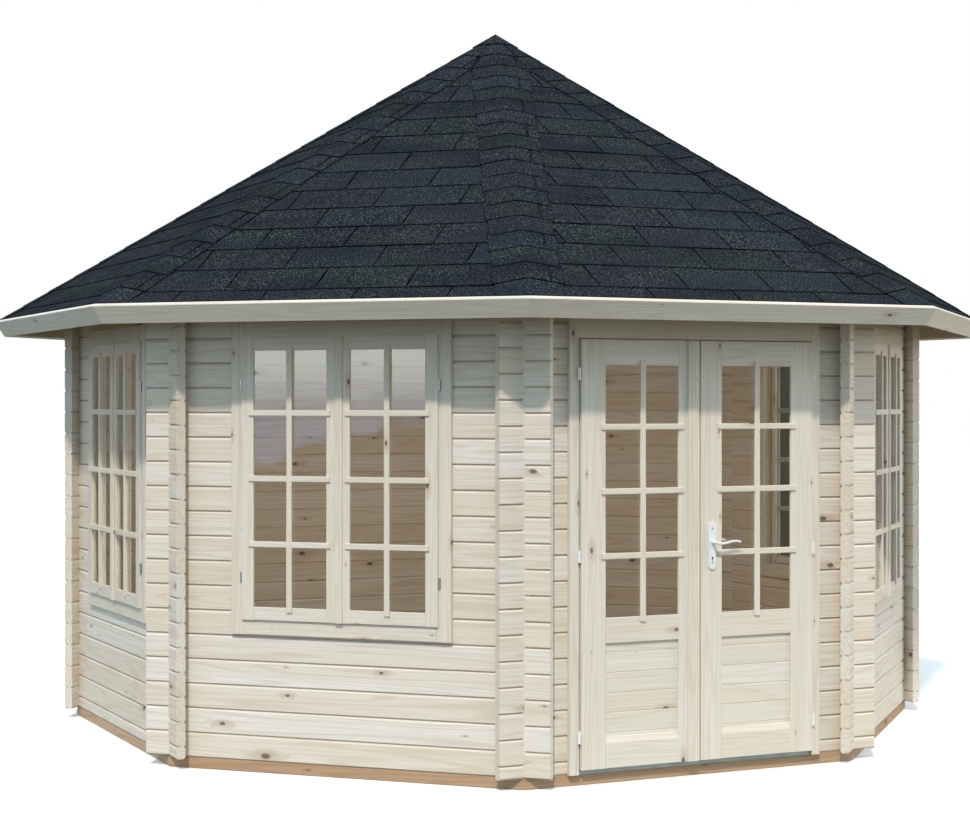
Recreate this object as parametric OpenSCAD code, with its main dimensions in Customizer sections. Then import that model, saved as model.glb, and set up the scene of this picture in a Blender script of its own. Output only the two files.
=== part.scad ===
/* [Plan and logs] */
// Distance between the outer faces of opposite walls
across_flats = 4214; // [3900:1:4600]
// Thickness of a wall log
log_t = 44; // [38:1:50]
// Height of one log course
course_h = 114; // [113:0.5:120]
// Least height of logs over the door and window trims
head_cover = 100; // [60:1:140]
// Run of a log end past the corner where the outer faces cross
log_tail = 119; // [80:1:150]
// Depth of the bevel along the log edges
log_bevel_d = 8; // [4:0.5:12]
// Height of the bevel along the log edges
log_bevel_h = 8; // [3:0.5:10]
// Width of the tongue along the top of a log
tongue_w = 12; // [8:0.5:16]
// Height of the tongue
tongue_h = 8; // [5:0.5:10]

/* [Foundation and floor] */
// Height of the foundation beams
foundation_h = 50; // [40:1:80]
// Width of a foundation beam
beam_w = 70; // [60:1:100]
// Distance of the beams behind the outer wall face
beam_setback = 5; // [3:1:25]
// Width of a floor joist
joist_w = 45; // [35:1:60]
// Distance between joist centres
joist_pitch = 450; // [380:5:480]
// Thickness of the floor boards
floor_t = 19; // [16:1:22]
// Gap between the floor boards and the wall
floor_edge_gap = 18; // [17:1:30]

/* [Roof] */
// Slope of the roof in degrees
roof_pitch = 32.2; // [28:0.1:36]
// Height of the bevelled wall plate at the outer face
plate_h = 139; // [110:1:170]
// Reach of the roof boards past the outer wall face
roof_overhang = 375; // [300:1:450]
// Thickness of the roof boards
deck_t = 19; // [16:1:24]
// Thickness of the laid shingles
shingle_t = 7; // [5:0.5:10]
// Thickness of the cap shingles on the hips
cap_t = 4; // [3:0.5:6]
// Width of the cap on each side of a hip, in plan
cap_w = 140; // [80:1:150]
// Height of the fascia boards
fascia_h = 95; // [80:1:120]
// Thickness of the fascia boards
fascia_t = 20; // [16:1:28]
// Width of a hip rafter
rafter_w = 45; // [40:1:60]
// Length of a rafter's level seat on the corner
rafter_seat = 58; // [45:1:70]
// Height of a rafter at its outer end
rafter_tail_h = 50; // [35:1:60]
// Width of the king block across its flats
king_w = 160; // [130:1:200]
// Height of the king block
king_h = 230; // [200:1:280]

/* [Door] */
// Width of one door leaf
leaf_w = 605.5; // [560:0.5:640]
// Height of a door leaf
leaf_h = 1902; // [1845:1:1907]
// Thickness of a door leaf
leaf_t = 44; // [40:1:50]
// Reach of the closed leaves past the outer wall face
leaf_proud = 41; // [36:1:46]
// Gap round a door leaf
door_gap = 5; // [5:0.5:7]
// Gap between the two leaves
meeting_gap = 7; // [7:0.5:9]
// Width of the stile at the hinges
hinge_stile = 120; // [105:1:135]
// Width of the stile at the meeting edge
meeting_stile = 110.5; // [100:0.5:125]
// Height of the top rail
door_top_rail = 113; // [95:1:130]
// Height of the rail between glass and panel
lock_rail = 113; // [95:1:130]
// Height of the bottom rail at the front
bottom_rail = 111; // [100:1:135]
// Rise of the weathered slope on the bottom rail
rail_slope_h = 31; // [20:1:40]
// Height of the glass opening in a leaf
door_glass_h = 1122; // [1000:1:1140]
// Depth of the panel behind the front of the leaf
panel_depth = 12; // [8:1:14]
// Thickness of the panel
panel_t = 18; // [14:1:20]
// Width of the trim beside the leaves
door_trim_w = 47; // [40:1:60]
// Reach of the trim past the outer wall face
door_trim_proud = 25; // [20:1:27]
// Width of the trim board over the leaves
head_trim_w = 90; // [80:1:95]
// Width of the stop behind a leaf
stop_w = 24; // [18:1:30]
// Height of the metal threshold
threshold_h = 18; // [14:1:24]
// Reach of the threshold past the outer wall face
threshold_proud = 12; // [8:1:30]
// Width of the cover strip
strip_w = 50; // [40:1:60]
// Thickness of the cover strip
strip_t = 10; // [8:1:14]
// Distance of the cover strip from the leaf edge
strip_inset = 14; // [10:1:25]

/* [Windows] */
// Width over the window trim
window_w = 1080; // [1000:1:1140]
// Height of the trim's lower edge above the wall bottom
window_sill_z = 584; // [520:1:700]
// Width of one casement
casement_w = 478; // [440:1:482]
// Visible width of the trim under the casements
sill_trim_w = 68; // [60:1:76]
// Height of the casements
casement_h = 1290; // [1150:1:1300]
// Visible width of the trim over the casements
window_head_w = 78; // [60:1:90]
// Reach of the window trim past the wall
window_trim_proud = 20; // [16:1:26]
// Reach of the casements past the trim
casement_proud = 12; // [11:1:18]
// Width of a casement's stiles and rails
casement_bar = 60; // [52:1:70]
// Lap of a casement on the frame
casement_lap = 11; // [8:1:14]
// Gap between the two casements
casement_gap = 6; // [4:0.5:8]
// Width of the strip over the gap between casements
window_strip_w = 35; // [25:1:45]
// Thickness of that strip
window_strip_t = 10; // [8:1:14]

/* [Glass and inner trim] */
// Thickness of the glass
glass_t = 4; // [3:0.5:5]
// Lap of the glass in its rebate
glass_lap = 10; // [8:1:12]
// Depth of the glass behind the front of its frame
glass_depth = 8; // [6:1:12]
// Lap of the trims on the logs beside an opening
trim_lap = 25; // [20:1:30]
// Thickness of the trim inside the room
inner_trim_t = 15; // [10:1:16]

/* [Fittings] */
// Radius of a door hinge knuckle
knuckle_r = 7.5; // [6:0.25:7.5]
// Height of one door hinge, both knuckles
hinge_h = 55; // [45:1:70]
// Radius of a door hinge pin
hinge_pin_r = 3; // [2.5:0.25:4]
// Distance of a hinge pin from the leaf edge
pin_edge = 8.5; // [8.5:0.5:10]
// Distance of a hinge pin in front of the trim
pin_front = 8; // [8:0.5:9]
// Radius of a window hinge knuckle
window_knuckle_r = 5; // [4:0.5:6]
// Height of a window hinge
window_hinge_h = 48; // [40:1:60]
// Width of a handle plate at its top
handle_plate_w = 40; // [34:1:46]
// Width of a handle plate at its round foot
handle_plate_foot_w = 31; // [28:1:34]
// Height of a handle plate
handle_plate_h = 212; // [180:1:230]
// Thickness of a handle plate
handle_plate_t = 9; // [7:0.5:12]
// Height of the lever's axis above the bottom of the leaf
lever_z = 988; // [945:1:1025]
// Length of the lever from its axis
lever_l = 128; // [105:1:140]
// Width of the lever
lever_w = 16; // [12:1:20]
// Thickness of the lever
lever_t = 10; // [8:0.5:14]
// Distance of the lever from the handle plate
lever_reach = 34; // [28:1:40]
// Radius of the lever's neck
lever_neck_r = 9; // [7:0.5:11]

/* [Hidden] */

// The sides in order, from the door wall round to the right
side_names = ["door", "front_right", "right", "back_right", "back", "back_left", "left", "front_left"];
window_sides = ["front_right", "right", "left", "front_left"];
sides = len(side_names);
turn = 360 / sides;
half_turn = turn / 2;

// Clearance between pieces that sit on each other
fit = 0.2;
// Clearance round a tongue in its groove
tongue_fit = 0.5;
// Clearance of a turning pin or neck in its bore
running_fit = 0.05;
// Overrun of every cut
overrun = 6;

// Walls
apothem = across_flats / 2;
half_course = course_h / 2;
notch_h = course_h / 4;
log_half_l = apothem * tan(half_turn) + log_tail;
no_opening = [0, 0, 0];

// Door, measured from the outer wall face and the bottom of the wall
pair_half = meeting_gap / 2 + leaf_w;
leaf_z = threshold_h + door_gap;
leaf_top = leaf_z + leaf_h;
trim_inner = pair_half + door_gap;
trim_outer = trim_inner + door_trim_w;
door_opening_half = trim_outer - trim_lap;
head_trim_z = leaf_top + door_gap;
head_trim_top = head_trim_z + head_trim_w;
head_z = head_trim_top - trim_lap;
stop_depth = leaf_t - leaf_proud + door_gap;
stop_half = trim_inner - stop_w;
frame_depth = log_t + inner_trim_t;
leaf_front = apothem + leaf_proud;
glass_z = leaf_top - door_top_rail - door_glass_h;
panel_top = glass_z - lock_rail;
panel_z = leaf_z + bottom_rail;
panel_groove = 10;
light_lo = meeting_gap / 2 + meeting_stile;
light_hi = pair_half - hinge_stile;
door_opening = [door_opening_half, 0, head_z];

// Door hinges
hinge_shares = [0.0755, 0.496, 0.919];
pin_x = pair_half + pin_edge;
pin_y = apothem + door_trim_proud + pin_front;
knuckle_h = hinge_h / 2;
knuckle_gap = 0.5;
hinge_neck_r = 4;

// Lever and its plates
spindle_x = meeting_gap / 2 + meeting_stile / 2;
spindle_r = 5;
spindle_bore_r = 12;
spindle_z = leaf_z + lever_z;
plate_round = 4;
plate_rise_share = 0.085;
lever_wave_share = 0.28;
lever_taper_share = 0.3;
lever_step_count = 24;

// Windows, measured from the outer wall face and the bottom of the wall
window_half = window_w / 2;
window_opening_half = window_half - trim_lap;
casement_z = window_sill_z + sill_trim_w;
casement_half = casement_gap / 2 + casement_w;
casement_top = casement_z + casement_h;
window_top = casement_top + window_head_w;
frame_hole_half = casement_half - casement_lap;
frame_hole_z = casement_z + casement_lap;
frame_hole_top = casement_top - casement_lap;
casement_clear = 3;
casement_front = window_trim_proud + casement_proud;
light_in = casement_half - casement_bar;
light_near = casement_gap / 2 + casement_bar - casement_lap / 2;
window_opening = [window_opening_half, window_sill_z + trim_lap, window_top - trim_lap];
window_hinge_shares = [0.15, 0.83];
window_pin_gap = 0.4;

// Courses that the door and the windows need
course_count = ceil((max(head_trim_top, window_top) + head_cover) / course_h);
wall_h = course_count * course_h;

// Roof: run is measured down the slope from the peak of the deck's underside
roof_z = foundation_h + wall_h + plate_h;
deck_peak_z = roof_z + apothem * tan(roof_pitch);
eave_run = (apothem + roof_overhang) / cos(roof_pitch);
cover_t = deck_t + shingle_t;
peak_run = 60;
eave_half = (apothem + roof_overhang) * tan(half_turn) + fascia_h;
hip_fall = tan(roof_pitch) * cos(half_turn);
rafter_drop = tan(roof_pitch) * sin(half_turn) * rafter_w / 2 + fit;
rafter_seat_in = (apothem - log_t) / cos(half_turn) + fit;
rafter_end = ((eave_run - fascia_t / 2) * cos(roof_pitch) - fascia_h * sin(roof_pitch)) / cos(half_turn);
king_flat = king_w / 2;
king_corner = king_flat / cos(half_turn);
plan_reach = apothem + roof_overhang + fascia_h * 2;

// Tongue across the depth of a log, rising from a height, or a groove with its clearance
function tongue_outline(z, clear) = [
    [(log_t + tongue_w) / 2 + clear, z], [(log_t + tongue_w) / 2 + clear, z + tongue_h + clear],
    [(log_t - tongue_w) / 2 - clear, z + tongue_h + clear], [(log_t - tongue_w) / 2 - clear, z]
];

// Points across the depth of a wall log: depth from the outer face, height
function log_outline(h, grooved, tongued) = concat(
    [[0, log_bevel_h], [log_bevel_d, 0]],
    grooved ? [for (i = [len(tongue_outline(0, 0)) - 1 : -1 : 0]) tongue_outline(0, tongue_fit)[i]] : [],
    [[log_t - log_bevel_d, 0], [log_t, log_bevel_h], [log_t, h - log_bevel_h], [log_t - log_bevel_d, h]],
    tongued ? tongue_outline(h, 0) : [],
    [[log_bevel_d, h], [0, h - log_bevel_h]]
);

// Place along a wall where a plane of the next wall, at a distance from the centre, passes at a depth
function crossing(distance, depth) = (distance - (apothem - depth) * cos(turn)) / sin(turn);

// Courses of a wall: bottom, height, notched below, notched above
function full_courses() = [for (i = [0 : course_count - 1]) [i * course_h, course_h, true, true]];
function staggered_courses() = concat(
    [[0, half_course, false, true]],
    [for (i = [1 : course_count - 1]) [(i - 1) * course_h + half_course, course_h, true, true]],
    [[wall_h - half_course, half_course, true, false]]
);

// Place of a side in the order round the building
function side_of(name) = search([name], side_names)[0];

// Underside of a hip rafter's top edge at a distance from the centre
function rafter_top(distance) = deck_peak_z - hip_fall * distance - rafter_drop;

module on_wall(name) {
    rotate([0, 0, side_of(name) * turn]) translate([0, 0, foundation_h]) children();
}

module on_hip(side) {
    rotate([0, 0, side * turn + half_turn]) children();
}

module both_ends() {
    children();
    mirror([1, 0, 0]) children();
}

// Solid along the wall from an outline of depths and heights
module along_wall(half_l) {
    translate([-half_l, -apothem, 0]) rotate([90, 0, 90]) linear_extrude(half_l * 2) children();
}

// Upright block on a wall: ends along the wall, depths from the outer face, heights
module wall_block(x0, x1, depth0, depth1, z0, z1) {
    translate([x0, depth0 - apothem, z0]) cube([x1 - x0, depth1 - depth0, z1 - z0]);
}

// Pie slice of one roof side, kept a gap away from both hip planes
module side_slice(gap) {
    tip = gap / sin(half_turn);
    width = plan_reach * tan(half_turn);
    linear_extrude(deck_peak_z * 2)
        polygon([[0, -tip], [width, -plan_reach - tip], [-width, -plan_reach - tip]]);
}

// Slab that follows the roof slope of the door side
module slope_slab(lo, hi, run0, run1) {
    translate([0, 0, deck_peak_z]) rotate([roof_pitch, 0, 0])
        translate([-eave_half, -run1, lo]) cube([eave_half * 2, run1 - run0, hi - lo]);
}

module roof_ring(lo, hi, run0, run1) {
    for (side = [0 : sides - 1]) rotate([0, 0, side * turn]) intersection() {
        slope_slab(lo, hi, run0, run1);
        side_slice(fit / 2);
    }
}

module octagon(flat_r) {
    rotate(half_turn) circle(r = flat_r / cos(half_turn), $fn = sides);
}

// Foundation and floor
module foundation_beams() {
    color("peru") for (side = [0 : sides - 1]) rotate([0, 0, side * turn]) intersection() {
        translate([-apothem / 2, -apothem + beam_setback, 0]) cube([apothem, beam_w, foundation_h - fit]);
        side_slice(fit / 2);
    }
}

module floor_joists() {
    joist_reach = apothem - beam_setback - beam_w - fit;
    joist_rows = floor((joist_reach - joist_w) / joist_pitch);
    color("burlywood") for (row = [-joist_rows : joist_rows]) intersection() {
        translate([-apothem, row * joist_pitch - joist_w / 2, 0])
            cube([across_flats, joist_w, foundation_h - fit]);
        linear_extrude(foundation_h) octagon(joist_reach);
    }
}

module floor_deck() {
    color("wheat") translate([0, 0, foundation_h])
        linear_extrude(floor_t) octagon(apothem - log_t - floor_edge_gap);
}

// Log walls: the ends of each log are notched a quarter deep above and below the neighbour's log
module corner_notch(z0, z1) {
    near = apothem - log_t - fit;
    far = apothem + fit;
    translate([0, -apothem, z0]) linear_extrude(z1 - z0) polygon([
        [crossing(near, -overrun), -overrun], [crossing(far, -overrun), -overrun],
        [crossing(far, log_t + overrun), log_t + overrun],
        [crossing(near, log_t + overrun), log_t + overrun]
    ]);
}

module wall_log(course, opening) {
    z0 = course[0];
    z1 = z0 + course[1];
    grooved = z0 > notch_h;
    tongued = z1 < wall_h - notch_h;
    cut_top = opening[2] < z1 ? opening[2] : z1 + tongue_h + overrun;
    difference() {
        translate([0, 0, z0]) along_wall(log_half_l)
            polygon(log_outline(course[1] - fit, grooved, tongued));
        both_ends() {
            if (course[2]) corner_notch(z0 - overrun, z0 + notch_h);
            if (course[3]) corner_notch(z1 - notch_h - fit, z1 + tongue_h + overrun);
        }
        if (opening[0] > 0 && z1 > opening[1] && z0 < opening[2])
            wall_block(-opening[0], opening[0], -overrun, log_t + overrun,
                max(opening[1], z0 - overrun), cut_top);
    }
}

module log_wall(name, opening) {
    courses = side_of(name) % 2 == 0 ? staggered_courses() : full_courses();
    color("cornsilk") on_wall(name) for (course = courses) wall_log(course, opening);
}

module door_wall_logs() { log_wall("door", door_opening); }
module front_right_wall_logs() { log_wall("front_right", window_opening); }
module right_wall_logs() { log_wall("right", window_opening); }
module back_right_wall_logs() { log_wall("back_right", no_opening); }
module back_wall_logs() { log_wall("back", no_opening); }
module back_left_wall_logs() { log_wall("back_left", no_opening); }
module left_wall_logs() { log_wall("left", window_opening); }
module front_left_wall_logs() { log_wall("front_left", window_opening); }

// Bevelled top logs between the rafters
module wall_plates() {
    inner_h = plate_h + log_t * tan(roof_pitch);
    color("cornsilk") for (side = [0 : sides - 1]) rotate([0, 0, side * turn]) intersection() {
        translate([0, 0, foundation_h + wall_h]) along_wall(log_half_l)
            polygon([[0, 0], [log_t, 0], [log_t, inner_h - fit], [0, plate_h - fit]]);
        side_slice(rafter_w / 2 + fit);
    }
}

// Window frame: outer trim, lining through the logs and inner trim in one ring
module window_frame(name) {
    lining_half = window_opening_half - fit;
    color("blanchedalmond") on_wall(name) difference() {
        union() {
            wall_block(-window_half, window_half, -window_trim_proud, -fit, window_sill_z, window_top);
            wall_block(-lining_half, lining_half, -window_trim_proud, frame_depth,
                window_opening[1] + fit, window_opening[2] - fit);
            wall_block(-window_half, window_half, log_t + fit, frame_depth, window_sill_z, window_top);
        }
        wall_block(-frame_hole_half, frame_hole_half, -window_trim_proud - overrun, frame_depth + overrun,
            frame_hole_z, frame_hole_top);
    }
}

module front_right_window_frame() { window_frame("front_right"); }
module right_window_frame() { window_frame("right"); }
module left_window_frame() { window_frame("left"); }
module front_left_window_frame() { window_frame("front_left"); }

// One casement: a lip that lies on the trim and a tongue inside the frame, rebated for the glass
module casement() {
    tongue_half = frame_hole_half - casement_clear;
    light_z = casement_z + casement_bar;
    light_top = casement_top - casement_bar;
    difference() {
        union() {
            wall_block(casement_gap / 2, casement_half, -casement_front, -window_trim_proud - fit,
                casement_z, casement_top);
            wall_block(casement_gap / 2, tongue_half, -casement_front, 0,
                frame_hole_z + casement_clear, frame_hole_top - casement_clear);
        }
        wall_block(light_near, light_in, -casement_front - overrun, overrun, light_z, light_top);
        wall_block(light_near - glass_lap, light_in + glass_lap, glass_depth - casement_front, overrun,
            light_z - glass_lap, light_top + glass_lap);
    }
}

module casement_pair(name) {
    color("blanchedalmond") on_wall(name) {
        casement();
        mirror([1, 0, 0]) casement();
        translate([casement_gap, 0, 0]) wall_block(-window_strip_w / 2, window_strip_w / 2,
            -casement_front - window_strip_t, -casement_front - fit,
            casement_z + fit, casement_top - fit);
    }
}

module front_right_casements() { casement_pair("front_right"); }
module right_casements() { casement_pair("right"); }
module left_casements() { casement_pair("left"); }
module front_left_casements() { casement_pair("front_left"); }

module window_glass(name) {
    depth = glass_depth - casement_front + fit;
    slip = glass_lap - fit;
    color("lightsteelblue") on_wall(name) both_ends()
        wall_block(light_near - slip, light_in + slip, depth, depth + glass_t,
            casement_z + casement_bar - slip, casement_top - casement_bar + slip);
}

module front_right_window_glass() { window_glass("front_right"); }
module right_window_glass() { window_glass("right"); }
module left_window_glass() { window_glass("left"); }
module front_left_window_glass() { window_glass("front_left"); }

// Knuckles beside the outer stiles of the casements
module window_hinges() {
    pin_place = casement_half + window_knuckle_r + window_pin_gap;
    pin_depth = window_trim_proud + window_knuckle_r + window_pin_gap;
    color("lightgray") for (name = window_sides) on_wall(name) both_ends()
        for (share = window_hinge_shares)
            translate([pin_place, -apothem - pin_depth, casement_z + share * casement_h])
                translate([0, 0, -window_hinge_h / 2])
                    cylinder(r = window_knuckle_r, h = window_hinge_h, $fn = 32);
}

// Door frame: two jambs and a head that grip the logs from both sides
module door_jamb() {
    lining = door_opening_half - fit;
    difference() {
        translate([0, -apothem, fit]) linear_extrude(head_trim_top - fit) polygon([
            [trim_inner, -door_trim_proud], [trim_outer, -door_trim_proud],
            [trim_outer, -fit], [lining, -fit],
            [lining, log_t + fit], [trim_outer, log_t + fit], [trim_outer, frame_depth],
            [stop_half, frame_depth], [stop_half, stop_depth], [trim_inner, stop_depth]
        ]);
        wall_block(stop_half - overrun, trim_outer + overrun, -fit, log_t + fit,
            head_z - fit, head_trim_top + overrun);
    }
}

module door_head() {
    along_wall(trim_inner - fit) polygon([
        [-door_trim_proud, head_trim_z], [stop_depth - fit, head_trim_z],
        [stop_depth - fit, head_z - fit], [-fit, head_z - fit],
        [-fit, head_trim_top], [-door_trim_proud, head_trim_top]
    ]);
    along_wall(stop_half - fit) polygon([
        [stop_depth - fit, head_trim_z - stop_w], [frame_depth, head_trim_z - stop_w],
        [frame_depth, head_trim_top], [log_t + fit, head_trim_top], [log_t + fit, head_z - fit],
        [stop_depth - fit, head_z - fit]
    ]);
}

module door_frame() {
    color("blanchedalmond") on_wall("door") {
        both_ends() door_jamb();
        door_head();
    }
}

module door_threshold() {
    front_half = trim_inner - fit;
    back_half = stop_half - fit;
    color("slategray") on_wall("door") {
        wall_block(-front_half, front_half, -threshold_proud, stop_depth - fit, fit, threshold_h);
        wall_block(-back_half, back_half, stop_depth - fit, frame_depth, fit, threshold_h);
    }
}

// Right door leaf, closed: stiles and rails round the glass and the panel
module door_leaf() {
    back = leaf_t - leaf_proud;
    panel_front = panel_depth - leaf_proud;
    slope_drop = rail_slope_h * overrun / panel_depth;
    difference() {
        wall_block(meeting_gap / 2, pair_half, -leaf_proud, back, leaf_z, leaf_top);
        wall_block(light_lo, light_hi, -leaf_proud - overrun, back + overrun,
            glass_z, glass_z + door_glass_h);
        wall_block(light_lo - glass_lap, light_hi + glass_lap, glass_depth - leaf_proud, back + overrun,
            glass_z - glass_lap, glass_z + door_glass_h + glass_lap);
        wall_block(light_lo, light_hi, panel_front, back + overrun, panel_z + rail_slope_h, panel_top);
        wall_block(light_lo - panel_groove, light_hi + panel_groove,
            panel_front, panel_front + panel_t + fit * 2,
            panel_z + rail_slope_h - panel_groove, panel_top + panel_groove);
        translate([light_lo, -apothem - leaf_proud, 0]) rotate([90, 0, 90])
            linear_extrude(light_hi - light_lo) polygon([
                [-overrun, panel_z - slope_drop], [panel_depth, panel_z + rail_slope_h],
                [panel_depth, panel_top], [-overrun, panel_top]
            ]);
    }
}

module leaf_panel() {
    front = panel_depth - leaf_proud + fit;
    slip = panel_groove - fit;
    wall_block(light_lo - slip, light_hi + slip, front, front + panel_t,
        panel_z + rail_slope_h - slip, panel_top + slip);
}

module leaf_glass() {
    depth = glass_depth - leaf_proud + fit;
    slip = glass_lap - fit;
    wall_block(light_lo - slip, light_hi + slip, depth, depth + glass_t,
        glass_z - slip, glass_z + door_glass_h + slip);
}

module left_door_leaf() { color("blanchedalmond") on_wall("door") mirror([1, 0, 0]) door_leaf(); }
module left_door_panel() { color("cornsilk") on_wall("door") mirror([1, 0, 0]) leaf_panel(); }
module left_door_glass() { color("lightsteelblue") on_wall("door") mirror([1, 0, 0]) leaf_glass(); }

module right_door_leaf() {
    color("blanchedalmond") on_wall("door") difference() {
        door_leaf();
        translate([spindle_x, -leaf_front - overrun, spindle_z]) rotate([-90, 0, 0])
            cylinder(r = spindle_bore_r, h = leaf_t + overrun * 2, $fn = 48);
    }
}

module right_door_panel() { color("cornsilk") on_wall("door") leaf_panel(); }
module right_door_glass() { color("lightsteelblue") on_wall("door") leaf_glass(); }

module door_cover_strip() {
    edge = meeting_gap / 2 + strip_inset;
    color("blanchedalmond") on_wall("door")
        wall_block(-edge - strip_w, -edge, -leaf_proud - strip_t, -leaf_proud - fit, leaf_z, leaf_top);
}

// Door hinges: lower knuckle and pin on the frame, upper knuckle on the leaf
module at_hinges() {
    for (share = hinge_shares) translate([pin_x, -pin_y, leaf_z + share * leaf_h]) children();
}

module frame_knuckle() {
    translate([0, 0, -knuckle_h]) cylinder(r = knuckle_r, h = knuckle_h - knuckle_gap, $fn = 40);
    translate([0, 0, -knuckle_h]) cylinder(r = hinge_pin_r, h = hinge_h - knuckle_gap, $fn = 32);
    translate([0, 0, -knuckle_h / 2]) rotate([-90, 0, 0])
        cylinder(r = hinge_neck_r, h = pin_front - fit, $fn = 32);
}

module leaf_knuckle() {
    difference() {
        union() {
            cylinder(r = knuckle_r, h = knuckle_h, $fn = 40);
            translate([0, 0, knuckle_h / 2]) rotate([0, -90, 0])
                cylinder(r = hinge_neck_r, h = pin_edge - fit, $fn = 32);
        }
        translate([0, 0, -overrun])
            cylinder(r = hinge_pin_r + running_fit, h = knuckle_h + overrun * 2, $fn = 32);
    }
}

module door_frame_hinges() { color("white") on_wall("door") both_ends() at_hinges() frame_knuckle(); }
module left_leaf_hinges() { color("white") on_wall("door") mirror([1, 0, 0]) at_hinges() leaf_knuckle(); }
module right_leaf_hinges() { color("white") on_wall("door") at_hinges() leaf_knuckle(); }

// Handle plates on both faces of the right leaf
module plate_outline() {
    half_h = handle_plate_h / 2;
    foot_r = handle_plate_foot_w / 2;
    shoulder = half_h - plate_round;
    inner_half = handle_plate_w / 2 - plate_round;
    polygon([
        [-foot_r, foot_r - half_h], [foot_r, foot_r - half_h], [handle_plate_w / 2, shoulder],
        [inner_half, shoulder], [inner_half, half_h], [-inner_half, half_h],
        [-inner_half, shoulder], [-handle_plate_w / 2, shoulder]
    ]);
    translate([0, foot_r - half_h]) circle(r = foot_r, $fn = 64);
    for (x = [-inner_half, inner_half]) translate([x, shoulder]) circle(r = plate_round, $fn = 32);
}

// Outer face of the right leaf at the lever's axis: x along the wall, y up, z away from the leaf
module at_lever_outside() {
    translate([spindle_x, -leaf_front, spindle_z]) rotate([90, 0, 0]) children();
}

module at_lever_inside() {
    translate([spindle_x, -leaf_front + leaf_t, spindle_z])
        mirror([0, 1, 0]) rotate([90, 0, 0]) children();
}

module handle_plate() {
    translate([0, 0, fit]) linear_extrude(handle_plate_t) difference() {
        translate([0, -handle_plate_h * plate_rise_share]) plate_outline();
        circle(r = lever_neck_r + running_fit, $fn = 48);
    }
}

module handle_plates() {
    color("white") on_wall("door") {
        at_lever_outside() handle_plate();
        at_lever_inside() handle_plate();
    }
}

// Levers: a softly waved bar on a round neck, one on each end of the spindle
function lever_half(t) = lever_w / 2 * (1 - lever_taper_share * t);
function lever_mid(t) = -lever_w * lever_wave_share * sin(360 * t);

module lever() {
    steps = [for (i = [0 : lever_step_count]) i / lever_step_count];
    upper = [for (t = steps) [t * lever_l, lever_mid(t) + lever_half(t)]];
    back_steps = [for (i = [lever_step_count : -1 : 0]) i / lever_step_count];
    lower = [for (t = back_steps) [t * lever_l, lever_mid(t) - lever_half(t)]];
    translate([0, 0, handle_plate_t + lever_reach]) linear_extrude(lever_t) union() {
        polygon(concat(upper, lower));
        circle(r = lever_w / 2, $fn = 48);
        translate([lever_l, 0]) circle(r = lever_half(1), $fn = 48);
    }
    cylinder(r = lever_neck_r, h = handle_plate_t + lever_reach + lever_t / 2, $fn = 48);
}

module lever_handles() {
    color("white") on_wall("door") {
        at_lever_outside() lever();
        at_lever_inside() lever();
        at_lever_outside() translate([0, 0, -leaf_t - lever_t])
            cylinder(r = spindle_r, h = leaf_t + lever_t * 2, $fn = 32);
    }
}

// Roof frame
module hip_rafters() {
    seat_out = rafter_seat_in + rafter_seat;
    seat_z = foundation_h + wall_h;
    depth = rafter_top(rafter_seat_in) - seat_z;
    king_end = king_flat + fit;
    color("burlywood") for (side = [0 : sides - 1]) on_hip(side)
        translate([-rafter_w / 2, 0, 0]) rotate([90, 0, 90]) linear_extrude(rafter_w) polygon([
            [-king_end, rafter_top(king_end)], [-rafter_end, rafter_top(rafter_end)],
            [-rafter_end, rafter_top(rafter_end) - rafter_tail_h],
            [-seat_out, seat_z], [-rafter_seat_in, seat_z],
            [-king_end, rafter_top(king_end) - depth]
        ]);
}

module king_block() {
    top = deck_peak_z - king_corner * tan(roof_pitch) - fit;
    color("burlywood") translate([0, 0, top - king_h])
        linear_extrude(king_h) circle(r = king_corner, $fn = sides);
}

// Roof covering
module roof_boards() { color("burlywood") roof_ring(0, deck_t - fit, peak_run, eave_run); }
module shingle_layer() { color("darkslategray") roof_ring(deck_t, cover_t - fit, peak_run, eave_run); }

// Half of a hip cap: a strip beside the hip on the right half of the door side
module cap_half() {
    reach = eave_run * cos(roof_pitch);
    width = reach * tan(half_turn);
    shoulder = cap_w / sin(half_turn);
    intersection() {
        slope_slab(cover_t, cover_t + cap_t, -cover_t, eave_run);
        linear_extrude(deck_peak_z * 2) polygon([
            [fit / 2, -fit / 2 / tan(half_turn)], [fit / 2, -shoulder],
            [width - cap_w / cos(half_turn), -reach - overrun],
            [width, -reach - overrun], [width, -reach]
        ]);
    }
}

module hip_caps() {
    color("dimgray") for (side = [0 : sides - 1]) rotate([0, 0, side * turn]) {
        cap_half();
        rotate([0, 0, turn]) mirror([1, 0, 0]) cap_half();
    }
}

module fascia_boards() {
    color("antiquewhite") roof_ring(cover_t - fascia_h, cover_t, eave_run + fit, eave_run + fascia_t);
}

foundation_beams();
floor_joists();
floor_deck();
door_wall_logs();
front_right_wall_logs();
right_wall_logs();
back_right_wall_logs();
back_wall_logs();
back_left_wall_logs();
left_wall_logs();
front_left_wall_logs();
wall_plates();
front_right_window_frame();
right_window_frame();
left_window_frame();
front_left_window_frame();
front_right_casements();
right_casements();
left_casements();
front_left_casements();
front_right_window_glass();
right_window_glass();
left_window_glass();
front_left_window_glass();
window_hinges();
door_frame();
door_threshold();
left_door_leaf();
left_door_panel();
left_door_glass();
right_door_leaf();
right_door_panel();
right_door_glass();
door_cover_strip();
handle_plates();
lever_handles();
door_frame_hinges();
left_leaf_hinges();
right_leaf_hinges();
hip_rafters();
king_block();
roof_boards();
shingle_layer();
hip_caps();
fascia_boards();
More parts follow.
